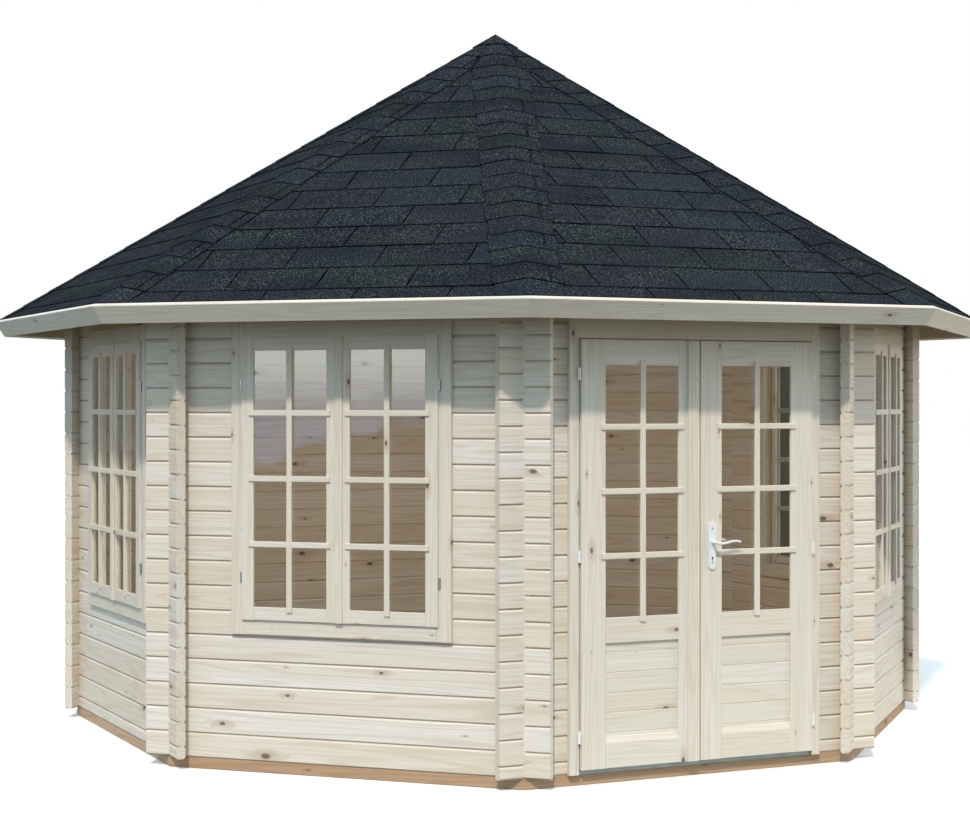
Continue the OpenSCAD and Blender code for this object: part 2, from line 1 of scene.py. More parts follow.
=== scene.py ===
import bmesh
import bpy
import numpy as np
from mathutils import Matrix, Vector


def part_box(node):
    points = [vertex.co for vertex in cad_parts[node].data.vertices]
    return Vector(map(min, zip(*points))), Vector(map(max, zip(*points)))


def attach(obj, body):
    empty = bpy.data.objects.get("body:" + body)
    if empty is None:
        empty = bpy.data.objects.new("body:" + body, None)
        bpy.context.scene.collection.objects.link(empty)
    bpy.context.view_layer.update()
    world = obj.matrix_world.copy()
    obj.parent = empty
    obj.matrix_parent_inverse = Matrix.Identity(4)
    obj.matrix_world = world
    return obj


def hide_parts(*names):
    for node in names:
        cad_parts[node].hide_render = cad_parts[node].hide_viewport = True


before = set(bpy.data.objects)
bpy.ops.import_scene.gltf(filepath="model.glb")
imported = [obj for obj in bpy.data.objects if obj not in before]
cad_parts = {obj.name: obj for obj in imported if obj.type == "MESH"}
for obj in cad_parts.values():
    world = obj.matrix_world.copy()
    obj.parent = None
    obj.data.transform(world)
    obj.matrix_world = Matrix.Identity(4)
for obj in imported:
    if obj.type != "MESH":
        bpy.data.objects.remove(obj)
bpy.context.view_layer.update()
dice = np.random.default_rng(41)

mm = 0.001  # lengths below are millimetres, the mesh is in metres
sides = 8
turn = 2 * np.pi / sides
sideTan = np.tan(turn / 2)
up = np.array([0.0, 0.0, 1.0])
mitreGap = 0.1  # clearances between pieces that touch
hair = 0.2
trimGap = 0.3
plateGap = 0.4
sharp = 0.5  # ease of edges that are hidden, in place of the usual 1.5


# low and high corner of a node, in millimetres
def span(node):
    low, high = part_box(node)
    return np.array(low) / mm, np.array(high) / mm


walls = {
    "face": -span("door_wall_logs")[0][1],  # centre of the building to the outer wall face
    "foot": span("door_wall_logs")[0][2],
    "top": span("front_right_wall_logs")[1][2],
    "thick": 44,
    "course": 114,
}
sideNames = ["door", "front_right", "right", "back_right", "back", "back_left", "left", "front_left"]
windowSides = ["front_right", "right", "left", "front_left"]


# sRGB hex to linear red, green, blue, alpha
def paint(hexCode):
    value = np.array([int(hexCode[i:i + 2], 16) for i in (1, 3, 5)]) / 255
    linear = np.where(value <= 0.04045, value / 12.92, ((value + 0.055) / 1.055) ** 2.4)
    return (*linear, 1.0)


# unit vectors of a wall: along to the right seen from outside, and outward
def wallAxes(side):
    angle = side * turn
    along = np.array([np.cos(angle), np.sin(angle), 0])
    outward = np.array([np.sin(angle), -np.cos(angle), 0])
    return along, outward


# a profile with every corner cut back by ease along both its edges
def easeProfile(points, ease):
    points = np.array(points, float)
    before = np.roll(points, 1, 0) - points
    after = np.roll(points, -1, 0) - points
    before /= np.linalg.norm(before, axis=1, keepdims=True)
    after /= np.linalg.norm(after, axis=1, keepdims=True)
    return np.stack([points + before * ease, points + after * ease], 1).reshape(-1, 2)


def rectangle(a0, a1, b0, b1, ease=1.5):
    return easeProfile([(a0, b0), (a1, b0), (a1, b1), (a0, b1)], ease)


# profile carried along a straight board: point = origin + along * station + across * a + deep * b
def carryProfile(profile, starts, ends, origin, along, across, deep):
    count = len(profile)
    stations = np.stack([np.broadcast_to(starts, count), np.broadcast_to(ends, count)])
    a, b = np.broadcast_to(profile[:, 0], (2, count)), np.broadcast_to(profile[:, 1], (2, count))
    points = origin + stations[..., None] * along + a[..., None] * across + b[..., None] * deep
    ring = np.arange(count)
    following = np.roll(ring, -1)
    quads = np.stack([ring, following, following + count, ring + count], 1)
    return {
        "points": points.reshape(-1, 3),
        "faces": [*quads.tolist(), ring[::-1].tolist(), (ring + count).tolist()],
        "grain": np.stack([stations, a, b], -1).reshape(-1, 3),
        "tone": np.full(2 * count, dice.random()),
    }


# closed slabs from a stack of grids: top[slab, row, column], bottom likewise, tone[slab];
# rim holds each point's distance from the left, right and lower edge
def closeSlabs(top, bottom, grain, tone, rim):
    slabs, rows, columns = top.shape[:3]
    index = np.arange(rows * columns).reshape(rows, columns)
    sheet = rows * columns
    upper = np.stack([index[:-1, :-1], index[1:, :-1], index[1:, 1:], index[:-1, 1:]], -1).reshape(-1, 4)
    ring = np.concatenate([index[0, :-1], index[:-1, -1], index[-1, :0:-1], index[:0:-1, 0]])
    wall = np.stack([ring, np.roll(ring, -1), np.roll(ring, -1) + sheet, ring + sheet], 1)
    one = np.concatenate([upper, upper[:, ::-1] + sheet, wall])
    faces = (one[None] + np.arange(slabs)[:, None, None] * 2 * sheet).reshape(-1, 4)
    both = np.stack([top.reshape(slabs, sheet, 3), bottom.reshape(slabs, sheet, 3)], 1)
    return {
        "points": both.reshape(-1, 3),
        "faces": faces.tolist(),
        "grain": np.repeat(grain.reshape(slabs, 1, sheet, 3), 2, 1).reshape(-1, 3),
        "rim": np.repeat(rim.reshape(slabs, 1, sheet, 3), 2, 1).reshape(-1, 3),
        "tone": np.repeat(tone, 2 * sheet),
    }


# surface of rings: rings[station, angle], closed by one face at each end
def closeRings(rings, tone=0.5):
    stations, count = rings.shape[:2]
    index = np.arange(stations * count).reshape(stations, count)
    following = np.roll(index, -1, 1)
    quads = np.stack([index[:-1], following[:-1], following[1:], index[1:]], -1).reshape(-1, 4)
    points = rings.reshape(-1, 3)
    return {"points": points, "faces": [*quads.tolist(), index[0, ::-1].tolist(), index[-1].tolist()],
            "grain": points, "tone": np.full(len(points), tone)}


# the same board with its broad face the other way round for the grain
def turnGrain(surface):
    return {**surface, "grain": surface["grain"][:, [0, 2, 1]]}


# new object in the scene
def link(name, data):
    thing = bpy.data.objects.new(name, data)
    bpy.context.scene.collection.objects.link(thing)
    return thing


# one mesh object from surfaces; grain, tone and rim go with it as attributes
def makePiece(name, surfaces, body, material, replaced=(), smooth=False):
    offsets = np.cumsum([0] + [len(s["points"]) for s in surfaces])
    faces = [[v + offset for v in face] for s, offset in zip(surfaces, offsets) for face in s["faces"]]
    mesh = bpy.data.meshes.new(name)
    mesh.from_pydata(np.concatenate([s["points"] for s in surfaces]) * mm, [], faces)
    for key in ("grain", "rim"):
        if key in surfaces[0]:
            vectors = np.concatenate([s[key] for s in surfaces]) * mm
            mesh.attributes.new(key, "FLOAT_VECTOR", "POINT").data.foreach_set("vector", vectors.ravel())
    tone = mesh.attributes.new("tone", "FLOAT", "POINT")
    tone.data.foreach_set("value", np.concatenate([s["tone"] for s in surfaces]))
    shell = bmesh.new()
    shell.from_mesh(mesh)
    bmesh.ops.recalc_face_normals(shell, faces=shell.faces)
    shell.to_mesh(mesh)
    shell.free()
    mesh.polygons.foreach_set("use_smooth", [smooth] * len(mesh.polygons))
    mesh.materials.append(material)
    piece = link(name, mesh)
    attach(piece, body)
    if replaced:
        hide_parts(*replaced)
    return piece


# feeds each named socket of a node with a value or another node's output
def feed(tree, node, feeds):
    for socket, source in feeds.items():
        if isinstance(source, bpy.types.NodeSocket):
            tree.links.new(source, node.inputs[socket])
        else:
            node.inputs[socket].default_value = source


# adds a shader node with its settings and feeds
def put(tree, kind, feeds=None, **settings):
    node = tree.nodes.new("ShaderNode" + kind)
    for key, value in settings.items():
        setattr(node, key, value)
    feed(tree, node, feeds or {})
    return node


# one step of arithmetic on numbers
def work(tree, operation, *values):
    return put(tree, "Math", dict(enumerate(values)), operation=operation).outputs[0]


# the same on vectors, where a length or a dot product gives a number
def workVector(tree, operation, *values):
    node = put(tree, "VectorMath", dict(enumerate(values)), operation=operation)
    return node.outputs["Value" if operation in ("LENGTH", "DOT_PRODUCT") else "Vector"]


# carries a value from the range low to high over to the range first to last
def remap(tree, value, low, high, first=0.0, last=1.0, curve="LINEAR"):
    feeds = {0: value, 1: low, 2: high, 3: first, 4: last}
    return put(tree, "MapRange", feeds, interpolation_type=curve).outputs[0]


# mixes two colours, each a hex code, a value or a socket
def blend(tree, share, first, second):
    first, second = (paint(colour) if isinstance(colour, str) else colour for colour in (first, second))
    return put(tree, "Mix", {0: share, 6: first, 7: second}, data_type="RGBA").outputs[2]


# place moved by a board's or tab's tone, so that no two show the same stretch of a pattern
def ownPlace(tree, place, tone, jump):
    moved = put(tree, "VectorMath", {0: jump, "Scale": tone}, operation="SCALE").outputs[0]
    return workVector(tree, "ADD", place, moved)


def newMaterial(name):
    material = bpy.data.materials.new(name)
    material.use_nodes = True
    tree = material.node_tree
    tree.nodes.clear()
    shader = put(tree, "BsdfPrincipled")
    put(tree, "OutputMaterial", {"Surface": shader.outputs[0]})
    return material, tree, shader


# Planed softwood: pale, matt, with long early and late wood lines, and small brown knots.
# Rings are drawn about three times too wide, or they would not show in the render.
def planedWood(name, look, side=None, courseShift=0.0):
    material, tree, shader = newMaterial(name)
    if side is None:  # boards carry their own grain direction and tone
        place = put(tree, "Attribute", attribute_name="grain").outputs["Vector"]
        tone = put(tree, "Attribute", attribute_name="tone").outputs["Fac"]
    else:  # logs: turn the wall to the front, tone by course
        spot = put(tree, "TexCoord").outputs
        ahead = put(tree, "Mapping", {
            "Vector": spot["Object"], "Rotation": (0, 0, -side * turn),
            "Location": (0, 0, -(walls["foot"] + courseShift) * mm)}).outputs[0]
        x, y, z = put(tree, "SeparateXYZ", {0: ahead}).outputs
        place = put(tree, "CombineXYZ", {0: x, 1: z, 2: y}).outputs[0]
        course = work(tree, "DIVIDE", z, walls["course"] * mm)
        seed = work(tree, "ADD", work(tree, "FLOOR", course), side * look["seedStep"] + look["seedStart"])
        tone = put(tree, "TexWhiteNoise", {"W": seed}, noise_dimensions="1D").outputs["Value"]
        facing = workVector(tree, "DOT_PRODUCT", spot["Normal"], wallAxes(side)[0])
        endGrain = work(tree, "ABSOLUTE", facing)
    own = ownPlace(tree, place, tone, look["jump"])

    # knots: one point in each cell, some of them left out, at its true distance
    cell = (look["knotSpacing"] * mm, look["knotRow"] * mm, 1)
    cells = workVector(tree, "DIVIDE", own, cell)
    knots = put(tree, "TexVoronoi", {"Vector": cells, "Scale": 1.0}, voronoi_dimensions="2D").outputs
    away = workVector(tree, "SUBTRACT", knots["Position"], cells)
    flat = workVector(tree, "MULTIPLY", away, (cell[0] * look["knotOval"], cell[1], 0))
    chance = put(tree, "SeparateColor", {0: knots["Color"]}).outputs[0]
    share = remap(tree, chance, look["knotless"], 1.0, look["knotLeast"], 1.0)
    small = work(tree, "POWER", share, look["knotPower"])  # most knots are small
    radius = work(tree, "MULTIPLY", small, look["knotRadius"] * mm)
    ratio = work(tree, "DIVIDE", workVector(tree, "LENGTH", flat), radius)
    core = remap(tree, ratio, *look["coreEdge"], 1.0, 0.0, "SMOOTHSTEP")
    smear = workVector(tree, "MULTIPLY", flat, (look["haloSmear"], 1, 0))
    spread = work(tree, "DIVIDE", workVector(tree, "LENGTH", smear), radius)
    halo = remap(tree, spread, *look["haloEdge"], 1.0, 0.0, "SMOOTHSTEP")
    if side is not None:  # no knots on the sawn ends of the logs
        shown = work(tree, "LESS_THAN", endGrain, look["endFacing"])
        core = work(tree, "MULTIPLY", core, shown)
        halo = work(tree, "MULTIPLY", halo, shown)

    # growth rings: contour lines of a noise stretched along the board, pushed aside by the knots
    swing = (look["ringLength"] * mm, look["ringWidth"] * mm, look["ringWidth"] * mm)
    wide = workVector(tree, "DIVIDE", own, swing)
    field = put(tree, "TexNoise", {
        "Vector": wide, "Scale": 1.0, "Detail": 1.5, "Roughness": 0.4}).outputs["Fac"]
    bent = work(tree, "MULTIPLY_ADD", halo, look["ringBend"], field)
    wave = work(tree, "SINE", work(tree, "MULTIPLY", bent, look["ringCount"] * 2 * np.pi))
    ring = remap(tree, wave, *look["ringEdge"], 0.0, look["ringShare"], "SMOOTHSTEP")

    # fine streaks and slow stains
    thin = (look["streakLength"] * mm, look["streakWidth"] * mm, look["streakWidth"] * mm)
    fine = workVector(tree, "DIVIDE", own, thin)
    streak = put(tree, "TexNoise", {"Vector": fine, "Scale": 1.0, "Detail": 3.0}).outputs["Fac"]
    sap = blend(tree, tone, look["pale"], look["cream"])
    ground = blend(tree, remap(tree, field, *look["stainEdge"]), sap, look["warm"])
    stained = blend(tree, look["stainShare"], sap, ground)
    ringed = blend(tree, ring, stained, look["late"])
    depth = remap(tree, streak, *look["streakEdge"], 0.0, look["streakShare"])
    colour = blend(tree, depth, ringed, look["late"])
    colour = blend(tree, work(tree, "MULTIPLY", halo, look["haloShare"]), colour, look["knotRing"])
    colour = blend(tree, work(tree, "MULTIPLY", core, look["coreShare"]), colour, look["knot"])
    if side is not None:  # painted shade under the lower edge of each log, with dust in the joint, on the outer face only
        band = look["jointShadeBand"] / walls["course"]
        shadeAndDust = remap(tree, work(tree, "FRACT", course), band * look["jointShadeFade"], band,
                      look["jointShadeShare"], 0.0)
        middle = (walls["thick"] / 2 - walls["face"]) * mm
        outerShadeAndDust = work(tree, "MULTIPLY", shadeAndDust, work(tree, "LESS_THAN", y, middle))
        colour = blend(tree, outerShadeAndDust, colour, look["joint"])
    bump = put(tree, "Bump", {
        "Height": streak, "Strength": look["bump"], "Distance": look["bumpDepth"] * mm})
    feed(tree, shader, {"Base Color": colour, "Normal": bump.outputs[0], "Roughness": look["roughness"],
                        "IOR": 1.5})
    return material


logLook = {
    "pale": "#EAE8E4", "cream": "#E4DCCF", "warm": "#DED3C1", "late": "#C4B199",
    "jump": (53, 17, 29), "seedStep": 31.0, "seedStart": 0.5, "endFacing": 0.5,
    # joint colour and its band: painted shade under the lower edge of each log, with dust in the joint
    "joint": "#7D7263", "jointShadeBand": 8, "jointShadeFade": 0.6, "jointShadeShare": 0.5,
    "knot": "#584234", "knotSpacing": 420, "knotRow": 114, "knotless": 0.55, "knotRadius": 16,
    "knotOval": 0.55, "knotLeast": 0.01, "knotPower": 2.0, "coreEdge": (0.5, 1.1), "coreShare": 0.85,
    "knotRing": "#B3977A", "haloSmear": 0.55, "haloEdge": (0.6, 2.9), "haloShare": 0.45,
    "ringLength": 2400, "ringWidth": 110, "ringCount": 14, "ringBend": 0.10, "ringEdge": (0.2, 1.0),
    "ringShare": 0.30, "streakLength": 420, "streakWidth": 7, "streakEdge": (0.35, 0.7), "streakShare": 0.30,
    "stainEdge": (0.3, 0.7), "stainShare": 0.6, "bump": 0.12, "bumpDepth": 0.6, "roughness": 0.68,
}
joineryLook = {**logLook, "pale": "#E6E4DD", "cream": "#E0DCD1", "knotless": 0.6, "knotRadius": 12,
               "knotSpacing": 380, "knotRow": 90, "ringShare": 0.22}
boardLook = {**logLook, "pale": "#DCCBA8", "cream": "#D5C19B", "warm": "#C8AB7C", "late": "#B28C5E",
             "knotless": 0.5, "jointShadeShare": 0.0}
treatedLook = {**logLook, "pale": "#C9AE93", "cream": "#BFA084", "warm": "#B28F6D", "late": "#96714F",
               "knot": "#4F3626", "knotRing": "#8F6845", "jointShadeShare": 0.0, "roughness": 0.8}
logWood = [planedWood(f"planedSpruceLogs{side}", logLook, side, 0 if side % 2 else -walls["course"] / 2)
           for side in range(sides)]
joineryWood = planedWood("planedSpruceJoinery", joineryLook)
boardWood = planedWood("planedPineBoards", boardLook)
frameWood = planedWood("planedPineFrame", boardLook, 0)
beamWood = planedWood("impregnatedPineBeams", treatedLook)
joistWood = planedWood("impregnatedPineJoists", treatedLook, 0)

feltLook = {
    "tones": ["#1D2228", "#20272F", "#20272A", "#23262E", "#242B33", "#1E242A"], "jump": (31, 47, 11),
    "green": "#202828", "greenEdge": (0.5, 0.68), "plum": "#26262F", "plumEdge": (0.52, 0.68),
    "tintShare": 0.8, "chip": "#868A91", "greenChip": "#7C8481", "plumChip": "#87838E",
    "chipSize": 7, "chipEdge": (0.54, 0.75), "chipShare": 0.9, "pit": "#0D1013", "pitEdge": (0.47, 0.28),
    "pitShare": 0.8, "patchLength": 520, "patchWidth": 170, "patchEdge": (0.35, 0.65),
    # the edge line colour on the next line darkens each tab's slit sides and lower edge
    "patchShare": (0.35, 1.0), "tabEdgeLine": "#0A0C0E", "sideRim": 1.8, "sideFade": 1.6,
    "lowRim": 5, "lowFade": 1.5, "edgeLineSpread": (0.4, 0.6), "rimShare": (0.55, 1.0),
    "bump": 0.5, "bumpDepth": 2, "roughness": 0.95,
}


# Mineral-coated bitumen felt: near black, no gloss, every tab another mix of grey chips.
# Chips of 1 to 2 mm are drawn about five times too large, or they would not show.
def granuleFelt(look):
    material, tree, shader = newMaterial("bitumenFeltGranules")
    place = put(tree, "Attribute", attribute_name="grain").outputs["Vector"]
    tone = put(tree, "Attribute", attribute_name="tone").outputs["Fac"]
    ramp = put(tree, "ValToRGB", {0: tone})
    ramp.color_ramp.interpolation = "CONSTANT"
    steps = ramp.color_ramp.elements
    while len(steps) < len(look["tones"]):
        steps.new(0.5)
    for i, hexCode in enumerate(look["tones"]):
        steps[i].position = i / len(look["tones"])
        steps[i].color = paint(hexCode)
    chips = put(tree, "TexNoise", {
        "Vector": ownPlace(tree, place, tone, look["jump"]), "Scale": 1 / (look["chipSize"] * mm),
        "Detail": 2.0, "Roughness": 0.75}).outputs["Fac"]
    size = (look["patchLength"] * mm, look["patchWidth"] * mm, 1)
    patch = put(tree, "TexNoise", {
        "Vector": workVector(tree, "DIVIDE", place, size), "Scale": 1.0, "Detail": 2.0}).outputs
    light = remap(tree, chips, *look["chipEdge"], 0.0, look["chipShare"])
    amount = remap(tree, patch["Fac"], *look["patchEdge"], *look["patchShare"])
    hollow = remap(tree, chips, *look["pitEdge"], 0.0, look["pitShare"])
    hues = put(tree, "SeparateColor", {0: patch["Color"]}).outputs
    mossy = remap(tree, hues[0], *look["greenEdge"], 0.0, look["tintShare"])
    plummy = remap(tree, hues[1], *look["plumEdge"], 0.0, look["tintShare"])
    tinted = blend(tree, plummy, blend(tree, mossy, ramp.outputs[0], look["green"]), look["plum"])
    pitted = blend(tree, hollow, tinted, look["pit"])
    chip = blend(tree, plummy, blend(tree, mossy, look["chip"], look["greenChip"]), look["plumChip"])
    chipped = blend(tree, work(tree, "MULTIPLY", light, amount), pitted, chip)
    # darker line along the slit sides and the lower edge of each tab, stronger in some patches than in
    # others
    rim = put(tree, "SeparateXYZ", {
        0: put(tree, "Attribute", attribute_name="rim").outputs["Vector"]}).outputs
    flank = work(tree, "MINIMUM", rim[0], rim[1])
    flankDark = remap(tree, flank, look["sideRim"] * mm, look["sideRim"] * look["sideFade"] * mm, 1.0, 0.0)
    lowDark = remap(tree, rim[2], look["lowRim"] * mm, look["lowRim"] * look["lowFade"] * mm, 1.0, 0.0)
    edges = work(tree, "MAXIMUM", flankDark, lowDark)
    edgeLineStrength = remap(tree, hues[2], *look["edgeLineSpread"], *look["rimShare"])
    colour = blend(tree, work(tree, "MULTIPLY", edges, edgeLineStrength), chipped, look["tabEdgeLine"])
    bump = put(tree, "Bump", {
        "Height": chips, "Strength": look["bump"], "Distance": look["bumpDepth"] * mm})
    feed(tree, shader, {"Base Color": colour, "Normal": bump.outputs[0], "Roughness": look["roughness"],
                        "Specular IOR Level": 0.0})
    return material


# Float glass: clear, flat, a sharp mirror of what stands before it. It lets lamp light straight through.
def floatGlass():
    tint = paint("#EEF4F2")
    material, tree, shader = newMaterial("floatGlass")
    path = put(tree, "LightPath")
    clear = put(tree, "BsdfTransparent", {"Color": tint})
    mixed = put(tree, "MixShader", {
        0: path.outputs["Is Shadow Ray"], 1: shader.outputs[0], 2: clear.outputs[0]})
    feed(tree, tree.nodes["Material Output"], {"Surface": mixed.outputs[0]})
    feed(tree, shader, {"Base Color": tint, "Roughness": 0.0, "IOR": 1.5, "Transmission Weight": 1.0})
    return material


# Metal with a thin finish: a slow mottle in tone and gloss, from cast enamel to mill aluminium.
def finishedMetal(name, light, dark, metallic, roughness, mottleSize, mottleEdge=(0.3, 0.7), glossSwing=0.2):
    material, tree, shader = newMaterial(name)
    spot = put(tree, "TexCoord").outputs["Object"]
    mottle = put(tree, "TexNoise", {
        "Vector": spot, "Scale": 1 / (mottleSize * mm), "Detail": 3.0}).outputs["Fac"]
    gloss = remap(tree, mottle, *mottleEdge, roughness * (1 - glossSwing), roughness * (1 + glossSwing))
    colour = blend(tree, mottle, light, dark)
    feed(tree, shader, {"Base Color": colour, "Roughness": gloss, "Metallic": metallic})
    return material


feltGranules = granuleFelt(feltLook)
clearGlass = floatGlass()
whiteEnamel = finishedMetal("whiteEnamel", "#F0F2F4", "#E4E7EA", 0.0, 0.28, 40)
zincSteel = finishedMetal("zincPlatedSteel", "#A9A8A4", "#7E7D79", 0.9, 0.38, 12)
millAluminium = finishedMetal("millAluminium", "#9AA5A5", "#7F8B8B", 0.6, 0.45, 60)
# black for the keyholes: painted shade in place of the dark inside of an open hole
keyholeShade = finishedMetal("paintedKeyholeShade", "#1A1A1C", "#101012", 0.5, 0.6, 10)
print("materials ready")

for side, sideName in enumerate(sideNames):
    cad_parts[f"{sideName}_wall_logs"].data.materials[0] = logWood[side]
nodeFinish = {
    "floor_joists": joistWood, "hip_rafters": frameWood, "king_block": frameWood,
    "window_hinges": zincSteel, "door_threshold": millAluminium,
    "handle_plates": whiteEnamel, "door_frame_hinges": whiteEnamel,
    "left_leaf_hinges": whiteEnamel, "right_leaf_hinges": whiteEnamel,
    "left_door_glass": clearGlass, "right_door_glass": clearGlass,
    **{f"{name}_window_glass": clearGlass for name in windowSides},
}
for node, material in nodeFinish.items():
    for i in range(len(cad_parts[node].data.materials)):
        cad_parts[node].data.materials[i] = material
print("nodes painted")

roof = {
    "pitch": np.radians(32.2), "plate": 139, "overhang": 375, "deck": 19, "cover": 26, "cap": 30,
    "fasciaHeight": 95, "fasciaThick": 20, "fasciaEdge": 3, "boardWidth": 95, "boardEase": 2.5,
    "crown": 60, "rafterWidth": 45,
}
pitchCos, pitchSin, pitchTan = (ratio(roof["pitch"]) for ratio in (np.cos, np.sin, np.tan))
roof["peak"] = walls["top"] + roof["plate"] + walls["face"] * pitchTan
roof["eave"] = (walls["face"] + roof["overhang"]) / pitchCos


# slope of a roof side: point = peak + along * e + downhill * run + normal * n
def slopeAxes(side):
    along, outward = wallAxes(side)
    downhill = outward * pitchCos - up * pitchSin
    normal = outward * pitchSin + up * pitchCos
    return along, downhill, normal


# half the width of a roof side between its hips
def halfWidth(run, n):
    return (run * pitchCos + n * pitchSin) * sideTan


# board from hip to hip on a roof side, its ends mitred on the hip planes
def slopeBoard(side, profile, gap=mitreGap):
    along, downhill, normal = slopeAxes(side)
    half = halfWidth(profile[:, 0], profile[:, 1]) - gap
    return carryProfile(profile, -half, half, up * roof["peak"], along, downhill, normal)


# level board round the building, its profile in distance from the centre and height
def ringBoard(side, profile, gap=mitreGap):
    along, outward = wallAxes(side)
    half = profile[:, 0] * sideTan - gap
    return carryProfile(profile, -half, half, np.zeros(3), along, outward, up)


boardEdges = np.arange(roof["crown"], roof["eave"], roof["boardWidth"])
boardEnds = np.append(boardEdges[1:], roof["eave"])
deckBoards = [slopeBoard(side, rectangle(lo, hi, 0, roof["deck"] - hair, roof["boardEase"]))
              for side in range(sides) for lo, hi in zip(boardEdges, boardEnds)]
makePiece("roofBoards", deckBoards, "root", boardWood, ["roof_boards"])

outer, inner = roof["eave"] + roof["fasciaThick"], roof["eave"] + hair
upper, edge = roof["cover"], roof["fasciaEdge"]
lower = upper - roof["fasciaHeight"]
fasciaProfile = np.array([(inner, lower), (outer - edge, lower), (outer, lower + edge),
                          (outer, upper - edge), (outer - edge, upper), (inner, upper)])
makePiece("fasciaBoards", [turnGrain(slopeBoard(side, fasciaProfile)) for side in range(sides)],
          "root", joineryWood, ["fascia_boards"])

plateInner = walls["face"] - walls["thick"]
plateFoot, plateTop = walls["top"], walls["top"] + roof["plate"] - plateGap
plateProfile = np.array([(walls["face"], plateFoot), (plateInner, plateFoot),
                         (plateInner, plateTop + walls["thick"] * pitchTan),
                         (walls["face"], plateTop)])
rafterGap = (roof["rafterWidth"] / 2 + plateGap) / np.cos(turn / 2)
makePiece("wallPlates", [turnGrain(ringBoard(side, plateProfile, rafterGap)) for side in range(sides)],
          "root", joineryWood, ["wall_plates"])

beams = {"setback": 5, "width": 70, "ease": 2}
beamOuter, beamTop = walls["face"] - beams["setback"], span("foundation_beams")[1][2]
beamProfile = rectangle(beamOuter - beams["width"], beamOuter, 0, beamTop, beams["ease"])
makePiece("foundationBeams", [turnGrain(ringBoard(side, beamProfile)) for side in range(sides)],
          "root", beamWood, ["foundation_beams"])

floor = {"board": 90, "joint": 0.3, "ease": 2.0}
floorLow, floorHigh = span("floor_deck")
floorReach = floorHigh[1]
floorEdges = np.linspace(-floorReach, floorReach, int(2 * floorReach / floor["board"]) + 1)
floorBoards = []
for lo, hi in zip(floorEdges[:-1], floorEdges[1:]):  # each end follows the octagon
    profile = rectangle(lo + floor["joint"], hi - floor["joint"], floorLow[2], floorHigh[2], floor["ease"])
    half = np.minimum(floorReach, floorReach * np.sqrt(2) - np.abs(profile[:, 0]))
    floorBoards.append(carryProfile(profile, -half, half, np.zeros(3), *np.eye(3)))
makePiece("floorBoards", floorBoards, "root", boardWood, ["floor_deck"])
print("boards laid")

shingles = {
    "lastEdge": 2834.6, "exposure": 197, "tab": 435, "slit": 5.5, "thick": 4, "lap": 40, "crown": 30,
    "columns": 9, "rows": 4, "skew": 2.0, "ripple": 3, "lift": 1.2, "jitter": 4, "sliver": 5,
    "eaveGap": 1, "eaveStop": 0.5, "hipGap": 2, "sink": 0.8,
    "underlay": 1.5, "underGap": 3, "underTone": 0.05,
}


# shingle tabs of one roof side: e runs between two slits or the hip, run from the covered edge down
# to the lower one, n rises by the felt's thickness towards the lower edge
def layTabs(side):
    s = shingles
    along, downhill, normal = slopeAxes(side)
    edges = np.append(roof["eave"] - s["eaveGap"], np.arange(s["lastEdge"], roof["crown"], -s["exposure"]))
    tabs = []
    for course, low in enumerate(edges):
        high = max((edges[course + 1] if course + 1 < len(edges) else 0) - s["lap"], s["crown"])
        shift = s["tab"] / 2 * ((course + side) % 2)
        wide = halfWidth(low, roof["cover"])
        reach = int(wide / s["tab"]) + 2
        slits = shift + np.arange(-reach, reach + 1) * s["tab"]
        slits = slits + dice.uniform(-s["jitter"], s["jitter"], 2 * reach + 1)
        for left, right in zip(slits[:-1], slits[1:]):
            if abs(left + right) / 2 - s["tab"] / 2 < wide - s["sliver"]:
                tabs.append((left + s["slit"] / 2, right - s["slit"] / 2, high, low))
    left, right, high, low = np.array(tabs).T[:, :, None, None]
    count = len(tabs)
    v = np.linspace(0, 1, s["rows"])[None, :, None]
    u = np.linspace(0, 1, s["columns"])[None, None, :]
    sag = dice.uniform(-1, 1, (count, 1, 1)) * s["skew"]
    run = high + (low - high) * v + 0 * u
    limit = halfWidth(run, roof["cover"]) - s["hipGap"]
    e = np.clip(left + (right - left) * u, -limit, limit)
    run = run + sag * v * (1 + 0.5 * np.sin(u * s["ripple"] + left))
    run = np.minimum(run, roof["eave"] - s["eaveStop"])
    n = roof["cover"] - trimGap - s["thick"] * (1 - v) - s["sink"] + 0 * u
    n = n + s["lift"] * v * dice.uniform(-0.5, 0.5, (count, 1, 1)) * np.cos(u * np.pi)
    lay = lambda height: (up * roof["peak"] + e[..., None] * along + run[..., None] * downhill
                          + height[..., None] * normal)
    rim = np.stack([e - left, right - e, low - run], -1)
    grain = np.stack([e, run, n], -1)
    return closeSlabs(lay(n), lay(n - s["thick"] + s["sink"]), grain, dice.random(count), rim)


underFoot = roof["deck"] + mitreGap
underTop, underEnd = underFoot + shingles["underlay"], roof["eave"] - shingles["underGap"]
underlay = np.array([(roof["crown"], underFoot), (underEnd, underFoot), (underEnd, underTop),
                     (roof["crown"], underTop)])
felt = [layTabs(side) for side in range(sides)]
corners = 2 * len(underlay)
for side in range(sides):
    felt.append({**slopeBoard(side, underlay), "tone": np.full(corners, shingles["underTone"]),
                 "rim": np.zeros((corners, 3))})
makePiece("roofShingles", felt, "root", feltGranules, ["shingle_layer"])

caps = {"exposure": 157.5, "half": 150, "spare": 8, "slit": 96, "slitGap": 6.5, "crest": 14, "thick": 3.5,
        "lap": 45, "columns": 15, "rows": 3, "rise": 3.4, "footGap": 2, "edgeGap": 3, "least": 0.5}


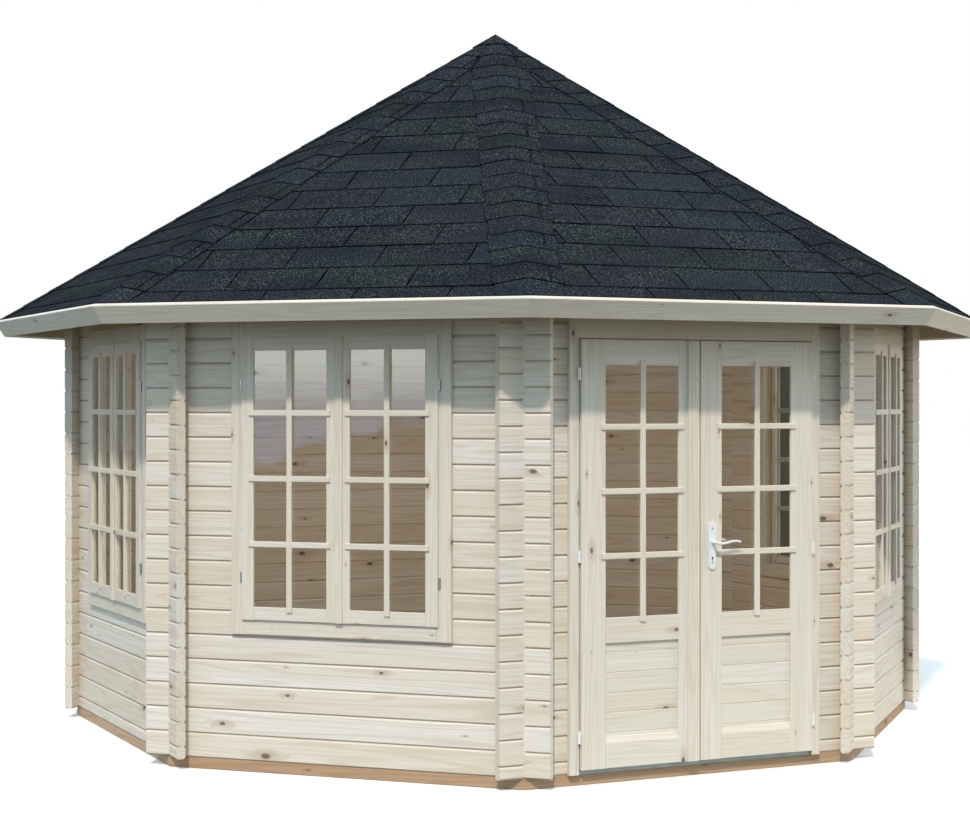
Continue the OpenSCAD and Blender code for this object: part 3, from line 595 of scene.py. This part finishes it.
# cap felts of one hip: point = peak + downhip * q + sideways * p + lift * height, where the height falls
# away from a crest rounded as a hyperbola, and each felt rises a little towards its lower edge
def layCaps(hip):
    c = caps
    azimuth = (hip + 0.5) * turn
    radial = np.array([np.sin(azimuth), -np.cos(azimuth), 0])
    sideways = np.array([np.cos(azimuth), np.sin(azimuth), 0])
    fall = np.arctan(pitchTan * np.cos(turn / 2))
    downhip = radial * np.cos(fall) - up * np.sin(fall)
    lift = radial * np.sin(fall) + up * np.cos(fall)
    fold = np.arccos(slopeAxes(hip)[2] @ lift)
    hipLength = roof["eave"] * pitchCos / np.cos(turn / 2) / np.cos(fall)
    narrow = np.arctan(pitchCos * sideTan)
    felts = []
    rows = np.arange(hipLength - c["footGap"], 0, -c["exposure"])
    for row, low in enumerate(rows):
        high = max(low - c["exposure"] - c["lap"], 0)
        spans = [(-c["half"], c["half"])]
        if row % 2:
            spans = [(-c["half"] - c["spare"], c["slit"] - c["slitGap"] / 2),
                     (c["slit"] + c["slitGap"] / 2, c["half"] + c["spare"])]
        felts += [(left, right, high, low) for left, right in spans]
    left, right, high, low = np.array(felts).T[:, :, None, None]
    v = np.linspace(0, 1, c["rows"])[None, :, None]
    u = np.linspace(0, 1, c["columns"])[None, None, :]
    q = high + (low - high) * v + 0 * u
    limit = np.maximum(q * np.tan(narrow) - c["edgeGap"], c["least"])
    p = np.clip(left + (right - left) * u, -limit, limit)
    # the eave cuts the lowest felts level with the fascia
    q = np.minimum(q, (roof["eave"] - shingles["eaveGap"] - np.abs(p) * np.sin(narrow)) / np.cos(narrow))
    ridge = np.sqrt(p ** 2 + c["crest"] ** 2)
    height = (roof["cap"] - trimGap - c["rise"] * (1 - v)) / np.cos(fold) - np.sin(fold) * ridge
    lay = lambda level: (up * roof["peak"] + q[..., None] * downhip
                         + (np.cos(fold) * p)[..., None] * sideways + level[..., None] * lift)
    tone = np.repeat(dice.random(len(rows)), [2 if row % 2 else 1 for row in range(len(rows))])
    rim = np.stack([p - left, right - p, low - q], -1)
    return closeSlabs(lay(height), lay(height - c["thick"]), np.stack([p, q, height], -1), tone, rim)


apex = {"run": 118, "thick": 3.0, "lip": 0.5, "tip": 0.4, "tone": 0.3, "flank": 100}


# folded felt over the peak: a pyramid shell, its rings given by their run down the slope and height off it
def layApex():
    thick, lip, tip = apex["thick"], apex["lip"], apex["tip"]
    run = np.array([tip, apex["run"], apex["run"], apex["run"] / 2, tip])
    n = roof["cap"] + np.array([-thick, lip - thick, lip, lip / 2, 0])
    away = (run * pitchCos + n * pitchSin) / np.cos(turn / 2)
    away[[0, -1]] = tip
    level = roof["peak"] - run * pitchSin + n * pitchCos
    level[[0, -1]] = roof["peak"] + n[[0, -1]] / pitchCos
    hips = (np.arange(sides) + 0.5) * turn
    shell = closeRings(np.stack([away[:, None] * np.sin(hips), -away[:, None] * np.cos(hips),
                                 level[:, None] + 0 * hips], -1), apex["tone"])
    low = np.repeat(apex["run"] - run, sides)
    flank = np.full(len(low), apex["flank"])  # it has no slits, so its sides are far from any point
    return {**shell, "rim": np.stack([flank, flank, low], -1)}


makePiece("hipCaps", [*(layCaps(hip) for hip in range(sides)), layApex()],
          "root", feltGranules, ["hip_caps"])
print("roof covered")


# profile of (place across, proud) points carried over a wall, with its grain up or along
def wallProfile(side, profile, ends, grainUp=True):
    along, outward = wallAxes(side)
    origin = outward * walls["face"] + up * walls["foot"]
    along, across = (up, along) if grainUp else (along, up)
    return carryProfile(profile, ends[0], ends[1], origin, along, across, outward)


# wall board from ranges along the wall, proud of its face and above its foot
def wallBoard(side, x, proud, z, grainUp=True, ease=1.5):
    across, ends = (x, z) if grainUp else (z, x)
    return wallProfile(side, rectangle(*across, *proud, ease), ends, grainUp)


# stile or rail with a stepped profile, from one end to the other
def wallMoulding(side, profile, ends, grainUp=True, ease=1.5):
    return wallProfile(side, easeProfile(profile, ease), ends, grainUp)


# cover strip with two fine grooves along its face, between the ranges x and proud
def coverStrip(side, x, proud, z, groove=2.5, bevel=3):
    low, high = x
    back, face = proud
    third = (high - low) / 3
    profile = [(low, back), (high, back), (high, face - bevel), (high - bevel, face)]
    for place in (high - third, low + third):
        profile += [(place + groove, face), (place, face - groove), (place - groove, face)]
    profile += [(low + bevel, face), (low, face - bevel)]
    return wallProfile(side, np.array(profile), z)


# the same range seen from the other hand
def handed(hand, low, high):
    return (low, high) if hand > 0 else (-high, -low)


bars = {"ease": 2.5, "inset": 4, "glassGap": 0.4, "overlap": 1, "step": 0.8}


# crossing bars over a light: each lies on the frame's face with its ends lapped, and fills down to the glass
def glazingBars(side, middle, x, z, front, glass, sizes):
    half, lap, face = sizes["bar"] / 2, sizes["barLap"], sizes["barFront"]
    core, ease = half - bars["inset"], bars["ease"]
    fill, low = (glass + bars["glassGap"], front + bars["overlap"]), front + hair
    boards = [wallBoard(side, (middle - half, middle + half), (low, face), (z[0] - lap, z[1] + lap),
                        ease=ease),
              wallBoard(side, (middle - core, middle + core), fill, z, ease=sharp)]
    for level in sizes["barLevels"]:
        boards += [wallBoard(side, (x[0] - lap, x[1] + lap), (low, face - bars["step"]),
                             (level - half, level + half), False, ease),
                   wallBoard(side, x, fill, (level - core, level + core), False, sharp)]
    return boards


window = {
    "half": 540, "foot": 584, "top": 2020, "proud": 20, "holeHalf": 470, "holeFoot": 663, "holeTop": 1931,
    "lining": 25.2, "back": -59, "innerTrim": -44.2,
    "near": 3, "far": 481, "casementFoot": 652, "casementTop": 1942, "front": 32, "lip": 20.2,
    "lightNear": 57.5, "lightFar": 421, "lightFoot": 712, "lightTop": 1882, "rebate": 10, "glassFront": 24,
    "tongue": 14, "stripLow": -11.5, "stripHigh": 23.5, "stripFront": 42,
    "bar": 27, "barLap": 20, "barFront": 41, "barLevels": [999, 1298, 1597],
}


# outer trim, lining and inner trim of a window
def windowFrame(side):
    w = window
    outside, through, inside = (trimGap, w["proud"]), (w["innerTrim"], hair), (w["back"], w["innerTrim"])
    boards = []
    for hand in (1, -1):
        x, z = handed(hand, w["holeHalf"], w["half"]), (w["foot"], w["top"])
        boards += [wallBoard(side, x, outside, z),
                   wallBoard(side, handed(hand, w["holeHalf"], w["half"] - w["lining"]), through,
                             (z[0] + w["lining"], z[1] - w["lining"]), ease=sharp),
                   wallBoard(side, x, inside, z)]
    x = (-w["holeHalf"] + trimGap, w["holeHalf"] - trimGap)
    for z, lining in (((w["foot"], w["holeFoot"]), (w["foot"] + w["lining"], w["holeFoot"])),
                      ((w["holeTop"], w["top"]), (w["holeTop"], w["top"] - w["lining"]))):
        boards += [wallBoard(side, x, outside, z, False),
                   wallBoard(side, x, through, lining, False, sharp),
                   wallBoard(side, x, inside, z, False)]
    return boards


# stiles, rails, strip and glazing bars of a pair of casements
def windowCasements(side):
    w = window
    front, lip, glass, height = w["front"], w["lip"], w["glassFront"], (w["casementFoot"], w["casementTop"])
    boards = [coverStrip(side, (w["stripLow"], w["stripHigh"]), (front + hair, w["stripFront"]), height)]
    rails = [(w["casementFoot"], w["lightFoot"], 1), (w["casementTop"], w["lightTop"], -1)]
    for hand in (1, -1):
        near, far = w["near"] * hand, w["far"] * hand
        lightNear, lightFar = w["lightNear"] * hand, w["lightFar"] * hand
        rebate, tongue = w["rebate"] * hand, w["tongue"] * hand
        boards.append(wallMoulding(side, [
            (near, front), (lightNear, front), (lightNear, glass), (lightNear - rebate, glass),
            (lightNear - rebate, 0), (near, 0)], height))
        boards.append(wallMoulding(side, [
            (lightFar, front), (far, front), (far, lip), (far - tongue, lip), (far - tongue, 0),
            (lightFar + rebate, 0), (lightFar + rebate, glass), (lightFar, glass)], height))
        x = handed(hand, w["lightNear"] + hair, w["lightFar"] - hair)
        for outside, light, sign in rails:
            step, shoulder = light - sign * w["rebate"], outside + sign * w["tongue"]
            boards.append(wallMoulding(side, [
                (outside, front), (light, front), (light, glass), (step, glass), (step, 0),
                (shoulder, 0), (shoulder, lip), (outside, lip)], x, False))
        boards += glazingBars(side, (lightNear + lightFar) / 2, handed(hand, w["lightNear"], w["lightFar"]),
                              (w["lightFoot"], w["lightTop"]), front, glass, w)
    return boards


for name in windowSides:
    side = sideNames.index(name)
    makePiece(f"{name}WindowFrame", windowFrame(side), "root", joineryWood,
              [f"{name}_window_frame"])
    makePiece(f"{name}Casements", windowCasements(side), "root", joineryWood,
              [f"{name}_casements"])
print("windows made")

door = {
    "near": 3.5, "far": 609, "foot": 23, "top": 1925, "front": 41, "back": -3,
    "lightNear": 114, "lightFar": 489, "glassFoot": 690, "glassTop": 1812, "glassFront": 33, "glassThick": 4,
    "bevel": 24, "panelFoot": 134, "slope": 31, "panelTop": 577, "panelDepth": 12, "panelThick": 18,
    "groove": 9.8, "boardLines": [176, 267, 354, 444, 535], "boardEase": 2.6,
    "stripNear": 17.5, "stripFar": 67.5, "stripFront": 51,
    "bar": 27, "barLap": 22, "barFront": 50, "barLevels": [963, 1250, 1537],
    "trimInner": 614, "trimOuter": 661, "trimProud": 25, "headFoot": 1930, "headTop": 2020, "lining": 25.2,
    "stopInner": 590, "stopFront": -8, "jambBack": -59, "innerTrim": -44.2,
}


# trims, lining, stops and inner trims round the doorway
def doorFrame():
    d = door
    outside, through = (trimGap, d["trimProud"]), (d["innerTrim"], hair)
    stopped, inside = (d["jambBack"], d["stopFront"]), (d["jambBack"], d["innerTrim"])
    foot, top, liningTop = d["headFoot"], d["headTop"], d["headTop"] - d["lining"]
    boards = []
    for hand in (1, -1):
        trim = handed(hand, d["trimInner"], d["trimOuter"])
        lining = handed(hand, d["trimInner"], d["trimOuter"] - d["lining"])
        stop = handed(hand, d["stopInner"], d["trimInner"])
        boards += [wallBoard(0, trim, outside, (hair, top)),
                   wallBoard(0, lining, through, (hair, liningTop), ease=sharp),
                   wallBoard(0, stop, stopped, (hair, liningTop)),
                   wallBoard(0, trim, inside, (hair, top))]
    x, stop = ((-d[key] + trimGap, d[key] - trimGap) for key in ("trimInner", "stopInner"))
    return boards + [wallBoard(0, x, outside, (foot, top), False),
                     wallBoard(0, x, through, (foot, liningTop), False, sharp),
                     wallBoard(0, stop, stopped, (foot - d["trimInner"] + d["stopInner"], foot), False),
                     wallBoard(0, stop, inside, (foot, top), False)]


# stiles, rails and bars of one leaf; hand is 1 for the right leaf
def doorLeaf(hand):
    d = door
    front, back, glass = d["front"], d["back"], d["glassFront"]
    slopeTop = d["panelFoot"] + d["slope"]
    x = handed(hand, d["lightNear"] + hair, d["lightFar"] - hair)
    pane, bevel = glass - d["glassThick"], d["bevel"]
    boards = []
    for start, end, edge in ((d["near"], d["lightNear"], -bevel), (d["far"], d["lightFar"], bevel)):
        boards.append(wallMoulding(0, [  # stile, cut back behind the glass
            (start * hand, front), (end * hand, front), (end * hand, pane), ((end + edge) * hand, back),
            (start * hand, back)], (d["foot"], d["top"])))
    for start, end, edge in ((d["top"], d["glassTop"], bevel), (d["panelTop"], d["glassFoot"], -bevel)):
        boards.append(wallMoulding(0, [
            (start, front), (end, front), (end, pane), (end + edge, back), (start, back)], x, False))
    boards.append(wallMoulding(0, [
        (d["foot"], front), (d["panelFoot"], front), (slopeTop, front - d["panelDepth"]),
        (slopeTop, back), (d["foot"], back)], x, False))
    middle = (d["lightNear"] + d["lightFar"]) / 2 * hand
    boards += glazingBars(0, middle, handed(hand, d["lightNear"], d["lightFar"]),
                          (d["glassFoot"], d["glassTop"]), front, glass, d)
    if hand < 0:
        boards.append(coverStrip(0, handed(hand, d["stripNear"], d["stripFar"]),
                                 (front + hair, d["stripFront"]), (d["foot"], d["top"])))
    return boards


# matched boards of the lower panel
def panelBoards(hand):
    d = door
    face = d["front"] - d["panelDepth"] - hair
    lines = [d["panelFoot"] + d["slope"] - d["groove"], *d["boardLines"], d["panelTop"] + d["groove"]]
    x = handed(hand, d["lightNear"] - d["groove"], d["lightFar"] + d["groove"])
    return [wallBoard(0, x, (face - d["panelThick"], face), (low + hair, high - hair), False, d["boardEase"])
            for low, high in zip(lines[:-1], lines[1:])]


makePiece("doorFrame", doorFrame(), "root", joineryWood, ["door_frame"])
for hand, body, replaced in ((-1, "left", ["left_door_leaf", "door_cover_strip"]),
                             (1, "right", ["right_door_leaf"])):
    makePiece(f"{body}DoorLeaf", doorLeaf(hand), f"{body}_leaf", joineryWood, replaced)
    makePiece(f"{body}DoorPanel", panelBoards(hand), f"{body}_leaf", joineryWood,
              [f"{body}_door_panel"])
print("doors made")

lever = {
    "x": 58.75, "z": 1011, "plate": 9.2, "reach": 34, "length": 128, "halfWidth": 7, "halfThick": 5,
    "wave": 4.6, "taper": 0.32, "bow": 3, "stations": 41, "round": 24,
    "root": 0.07, "tip": 1.03, "tipRound": 0.05, "least": 1e-4,  # shares of the length
    "neck": 8.6, "neckStep": 1, "collar": 6, "shank": 7.5, "end": 5.5, "endBevel": 4,
    "keyDrop": 72, "keyRound": 4.5, "slotRound": 2.6, "slotDrops": [5, 9], "keyDepth": 2, "keyProud": 0.25,
    "screwDrops": [-62, 92], "screwRound": 4.2, "screwTop": 2.6, "screwSteps": [-1, 0.8, 1.3],
}


# turned shape about an axis square to the wall: radius as a function of how proud a point is
def turned(x, z, proud, radius):
    angle = np.linspace(0, 2 * np.pi, lever["round"], endpoint=False)[None]
    proud, radius = np.array(proud, float)[:, None], np.array(radius, float)[:, None]
    return closeRings(np.stack([x + radius * np.cos(angle), -walls["face"] - proud + 0 * angle,
                                walls["foot"] + z + radius * np.sin(angle)], -1))


# lever bar: an ellipse carried along a sine, its ends drawn in as quarter circles
def leverBar(facing, base):
    root, tip = lever["root"], lever["tip"]
    t = np.linspace(-root, tip, lever["stations"])[:, None]
    angle = np.linspace(0, 2 * np.pi, lever["round"], endpoint=False)[None]
    ends = np.clip(np.minimum((t + root) / root, (tip - t) / lever["tipRound"]), 0.0, 1)
    ends = np.sqrt(np.maximum(1 - (1 - ends) ** 2, lever["least"]))
    along = np.clip(t, 0, 1)
    size = (1 - lever["taper"] * along) * ends
    wave = -lever["wave"] * np.sin(2 * np.pi * along)
    proud = base + facing * (lever["reach"] + lever["halfThick"] - lever["bow"] * along ** 2)
    return closeRings(np.stack([
        lever["x"] + lever["length"] * t + 0 * angle,
        -walls["face"] - proud - lever["halfThick"] * size * np.sin(angle),
        walls["foot"] + lever["z"] + wave + lever["halfWidth"] * size * np.cos(angle)], -1))


outside, inside = door["front"] + lever["plate"], door["back"] - lever["plate"]
spindleEnd, neck = lever["reach"] + lever["halfThick"], lever["neck"]
spindle = [(spindleEnd, lever["end"]), (spindleEnd - lever["endBevel"], lever["shank"]),
           (lever["collar"], neck - lever["neckStep"]), (0, neck)]  # distance from the plate, radius
makePiece("leverHandles", [
    leverBar(1, outside), leverBar(-1, inside),
    turned(lever["x"], lever["z"],
           [inside - away for away, size in spindle] + [outside + away for away, size in spindle[::-1]],
           [size for away, size in spindle + spindle[::-1]]),
], "lever", whiteEnamel, ["lever_handles"], smooth=True)
keyholes, screws = [], []
slot = [(0, lever["keyRound"])] + [(drop, lever["slotRound"]) for drop in lever["slotDrops"]]
screwSizes = [lever["screwRound"], lever["screwRound"], lever["screwTop"]]
for sign, face in ((1, outside), (-1, inside)):  # keyhole and screws of both plates
    depths = [face - sign * lever["keyDepth"], face + sign * lever["keyProud"]]
    steps = [face + sign * step for step in lever["screwSteps"]]
    keyholes += [turned(lever["x"], lever["z"] - lever["keyDrop"] - drop, depths, [size, size])
                 for drop, size in slot]
    screws += [turned(lever["x"], lever["z"] - drop, steps, screwSizes) for drop in lever["screwDrops"]]
# the keyholes are black pieces, painted shade in place of holes
makePiece("plateKeyholes", keyholes, "right_leaf", keyholeShade)
makePiece("plateScrews", screws, "right_leaf", zincSteel)
print("handles made")

studio = {
    "floor": 60, "floorDrop": 0.001, "floorSeen": "#FFFFFF", "floorGlow": 0.05, "floorRoughness": 0.9,
    "turf": "#373A2D", "apron": "#989A94", "apronReach": (2.5, 3.7), "sky": 1.08, "skyTint": "#D3E8F5",
    "sun": 2.3, "sunTint": (1.0, 0.88, 0.76), "sunSoftness": 3.0, "sunAzimuth": -33.5, "sunHeight": 47,
    "boxSide": 7, "boxAway": 6.6, "boxLow": 0.02, "boxHigh": 2.6, "boxLeft": -4.4, "boxRight": 0.5,
    "boxGlow": 8.6, "boxFoot": (0.15, 0.24, 0.40, 1.0), "boxHead": (0.85, 0.965, 1.0, 1.0),
    "boxRise": (1.55, 2.03), "boxSlant": -0.265, "boxFade": (2.13, 2.24), "boxBump": 0.45, "boxNoise": 3.0,
    "fillAzimuth": 60, "fillAway": 14, "fillHeight": 3.5, "fillTilt": 85, "fillSize": 7, "fillPower": 530,
    "fillTint": (1.0, 0.88, 0.72),
    "roomHeight": 2.3, "roomSize": 1.6, "roomPower": 22, "roomTint": (1.0, 0.90, 0.87),
    "cloth": "#24261F", "clothFold": "#3A3C33", "clothSize": 0.35, "clothAway": 8.1, "clothHigh": 2.3,
    "clothPanels": 48,
}  # lengths in metres, angles in degrees


# 1 for rays from the eye, also by way of metal or glass
def seenRays(tree):
    path = put(tree, "LightPath").outputs
    direct = work(tree, "MAXIMUM", path["Is Camera Ray"], path["Is Glossy Ray"])
    return work(tree, "MAXIMUM", direct, path["Is Transmission Ray"])


# flat sheet of the set
def newSheet(name, points, faces, material):
    mesh = bpy.data.meshes.new(name)
    mesh.from_pydata(points, [], faces)
    mesh.materials.append(material)
    return link(name, mesh)


def newLamp(name, kind, power, tint):
    lamp = bpy.data.lights.new(name, kind)
    lamp.energy = power
    lamp.color = tint
    return link(name, lamp)


# white floor to the eye that throws back light as a paved apron in a lawn does
floorMaterial, floorTree, floorShader = newMaterial("paleStudioFloor")
floorRays = seenRays(floorTree)
floorSpot = put(floorTree, "TexCoord").outputs["Object"]
floorFar = remap(floorTree, workVector(floorTree, "LENGTH", floorSpot), *studio["apronReach"])
floorBounce = blend(floorTree, floorFar, studio["apron"], studio["turf"])
floorTone = blend(floorTree, floorRays, floorBounce, studio["floorSeen"])
floorLift = work(floorTree, "MULTIPLY", floorRays, studio["floorGlow"])
feed(floorTree, floorShader, {"Base Color": floorTone, "Emission Strength": floorLift,
                              "Roughness": studio["floorRoughness"], "Specular IOR Level": 0.0})
reach, drop = studio["floor"], studio["floorDrop"]
floorCorners = [(x * reach, y * reach, -drop) for x, y in ((-1, -1), (1, -1), (1, 1), (-1, 1))]
studioFloor = newSheet("studioFloor", floorCorners, [(0, 1, 2, 3)], floorMaterial)

world = bpy.data.worlds.new("softStudio")
bpy.context.scene.world = world
world.use_nodes = True
sky = world.node_tree
sky.nodes.clear()
soft = put(sky, "Background", {"Color": paint(studio["skyTint"]), "Strength": studio["sky"]})
white = put(sky, "Background", {"Color": (1, 1, 1, 1), "Strength": 1.0})
mixed = put(sky, "MixShader", {0: seenRays(sky), 1: soft.outputs[0], 2: white.outputs[0]})
put(sky, "OutputWorld", {"Surface": mixed.outputs[0]})

sun = newLamp("studioSun", "SUN", studio["sun"], studio["sunTint"])
sun.data.angle = np.radians(studio["sunSoftness"])
sun.rotation_euler = (np.radians(90 - studio["sunHeight"]), 0, np.radians(studio["sunAzimuth"]))

fill = newLamp("studioFill", "AREA", studio["fillPower"], studio["fillTint"])
fill.data.size = studio["fillSize"]
fillAngle, fillAway = np.radians(studio["fillAzimuth"]), studio["fillAway"]
fill.location = (fillAway * np.sin(fillAngle), -fillAway * np.cos(fillAngle), studio["fillHeight"])
fill.rotation_euler = (np.radians(studio["fillTilt"]), 0, fillAngle)
fill.visible_camera = False

# soft light under the rafters, so that the room shows through the panes
room = newLamp("roomFill", "AREA", studio["roomPower"], studio["roomTint"])
room.data.size = studio["roomSize"]
room.location = (0, 0, studio["roomHeight"])
room.visible_camera = False
room.visible_glossy = False
room.visible_transmission = False

# softbox that the front left panes mirror above an uneven, slanting edge
glow = bpy.data.materials.new("softboxCloth")
glow.use_nodes = True
glowTree = glow.node_tree
glowTree.nodes.clear()
glowSpot = put(glowTree, "TexCoord").outputs["Object"]
glowNoise = put(glowTree, "TexNoise", {
    "Vector": glowSpot, "Scale": studio["boxNoise"], "Detail": 4.0}).outputs["Fac"]
boxAlong, boxOut = wallAxes(studio["boxSide"])
glowSlant = workVector(glowTree, "DOT_PRODUCT", glowSpot, up + boxAlong * studio["boxSlant"])
glowEdge = work(glowTree, "MULTIPLY_ADD", glowNoise, studio["boxBump"], glowSlant)
glowFade = remap(glowTree, glowEdge, *studio["boxFade"], curve="SMOOTHSTEP")
glowHeight = put(glowTree, "SeparateXYZ", {0: glowSpot}).outputs[2]
glowRise = remap(glowTree, glowHeight, *studio["boxRise"], curve="SMOOTHSTEP")
glowTint = blend(glowTree, glowRise, studio["boxFoot"], studio["boxHead"])
glowLight = put(glowTree, "Emission", {"Color": glowTint, "Strength": studio["boxGlow"]})
glowClear = put(glowTree, "BsdfTransparent")
glowMix = put(glowTree, "MixShader", {0: glowFade, 1: glowClear.outputs[0], 2: glowLight.outputs[0]})
put(glowTree, "OutputMaterial", {"Surface": glowMix.outputs[0]})
boxCorners = [boxOut * studio["boxAway"] + boxAlong * studio[x] + up * studio[z] for x, z in (
    ("boxLeft", "boxLow"), ("boxRight", "boxLow"), ("boxRight", "boxHigh"), ("boxLeft", "boxHigh"))]

# ring of dark cloth round the set, seen in the panes and through them
cloth, clothTree, clothShader = newMaterial("darkCloth")
clothSpot = put(clothTree, "TexCoord").outputs["Object"]
clothFolds = put(clothTree, "TexNoise", {
    "Vector": clothSpot, "Scale": 1 / studio["clothSize"], "Detail": 4.0}).outputs["Fac"]
clothTone = blend(clothTree, clothFolds, studio["cloth"], studio["clothFold"])
feed(clothTree, clothShader, {"Base Color": clothTone, "Roughness": 1.0})
panels = studio["clothPanels"]
clothAngle = np.arange(panels) * 2 * np.pi / panels
clothRing = np.stack([np.cos(clothAngle), np.sin(clothAngle)], 1) * studio["clothAway"]
clothPoints = [(*spot, z) for z in (0.0, studio["clothHigh"]) for spot in clothRing]
clothFaces = [(i, (i + 1) % panels, (i + 1) % panels + panels, i + panels) for i in range(panels)]

for name, points, faces, material in (("paneSoftbox", boxCorners, [(3, 2, 1, 0)], glow),
                                      ("clothRing", clothPoints, clothFaces, cloth)):
    screen = newSheet(name, points, faces, material)
    screen.visible_camera = False
    screen.visible_diffuse = False
    screen.visible_shadow = False
    screen.visible_transmission = name == "clothRing"

view = {"place": (-4.8305, -10.0593, 1.6943), "heading": 25.357, "lens": 75.43, "shift": -0.0142,
        "sensor": 36, "far": 200}
camera = bpy.data.cameras.new("photoCamera")
camera.sensor_fit = "HORIZONTAL"
camera.sensor_width = view["sensor"]
camera.lens = view["lens"]
camera.shift_y = view["shift"]
camera.clip_end = view["far"]
eye = link("photoCamera", camera)
eye.location = view["place"]
eye.rotation_euler = (np.radians(90), 0, np.radians(-view["heading"]))
bpy.context.scene.camera = eye
bpy.context.scene.view_settings.view_transform = "Standard"
print("studio set")
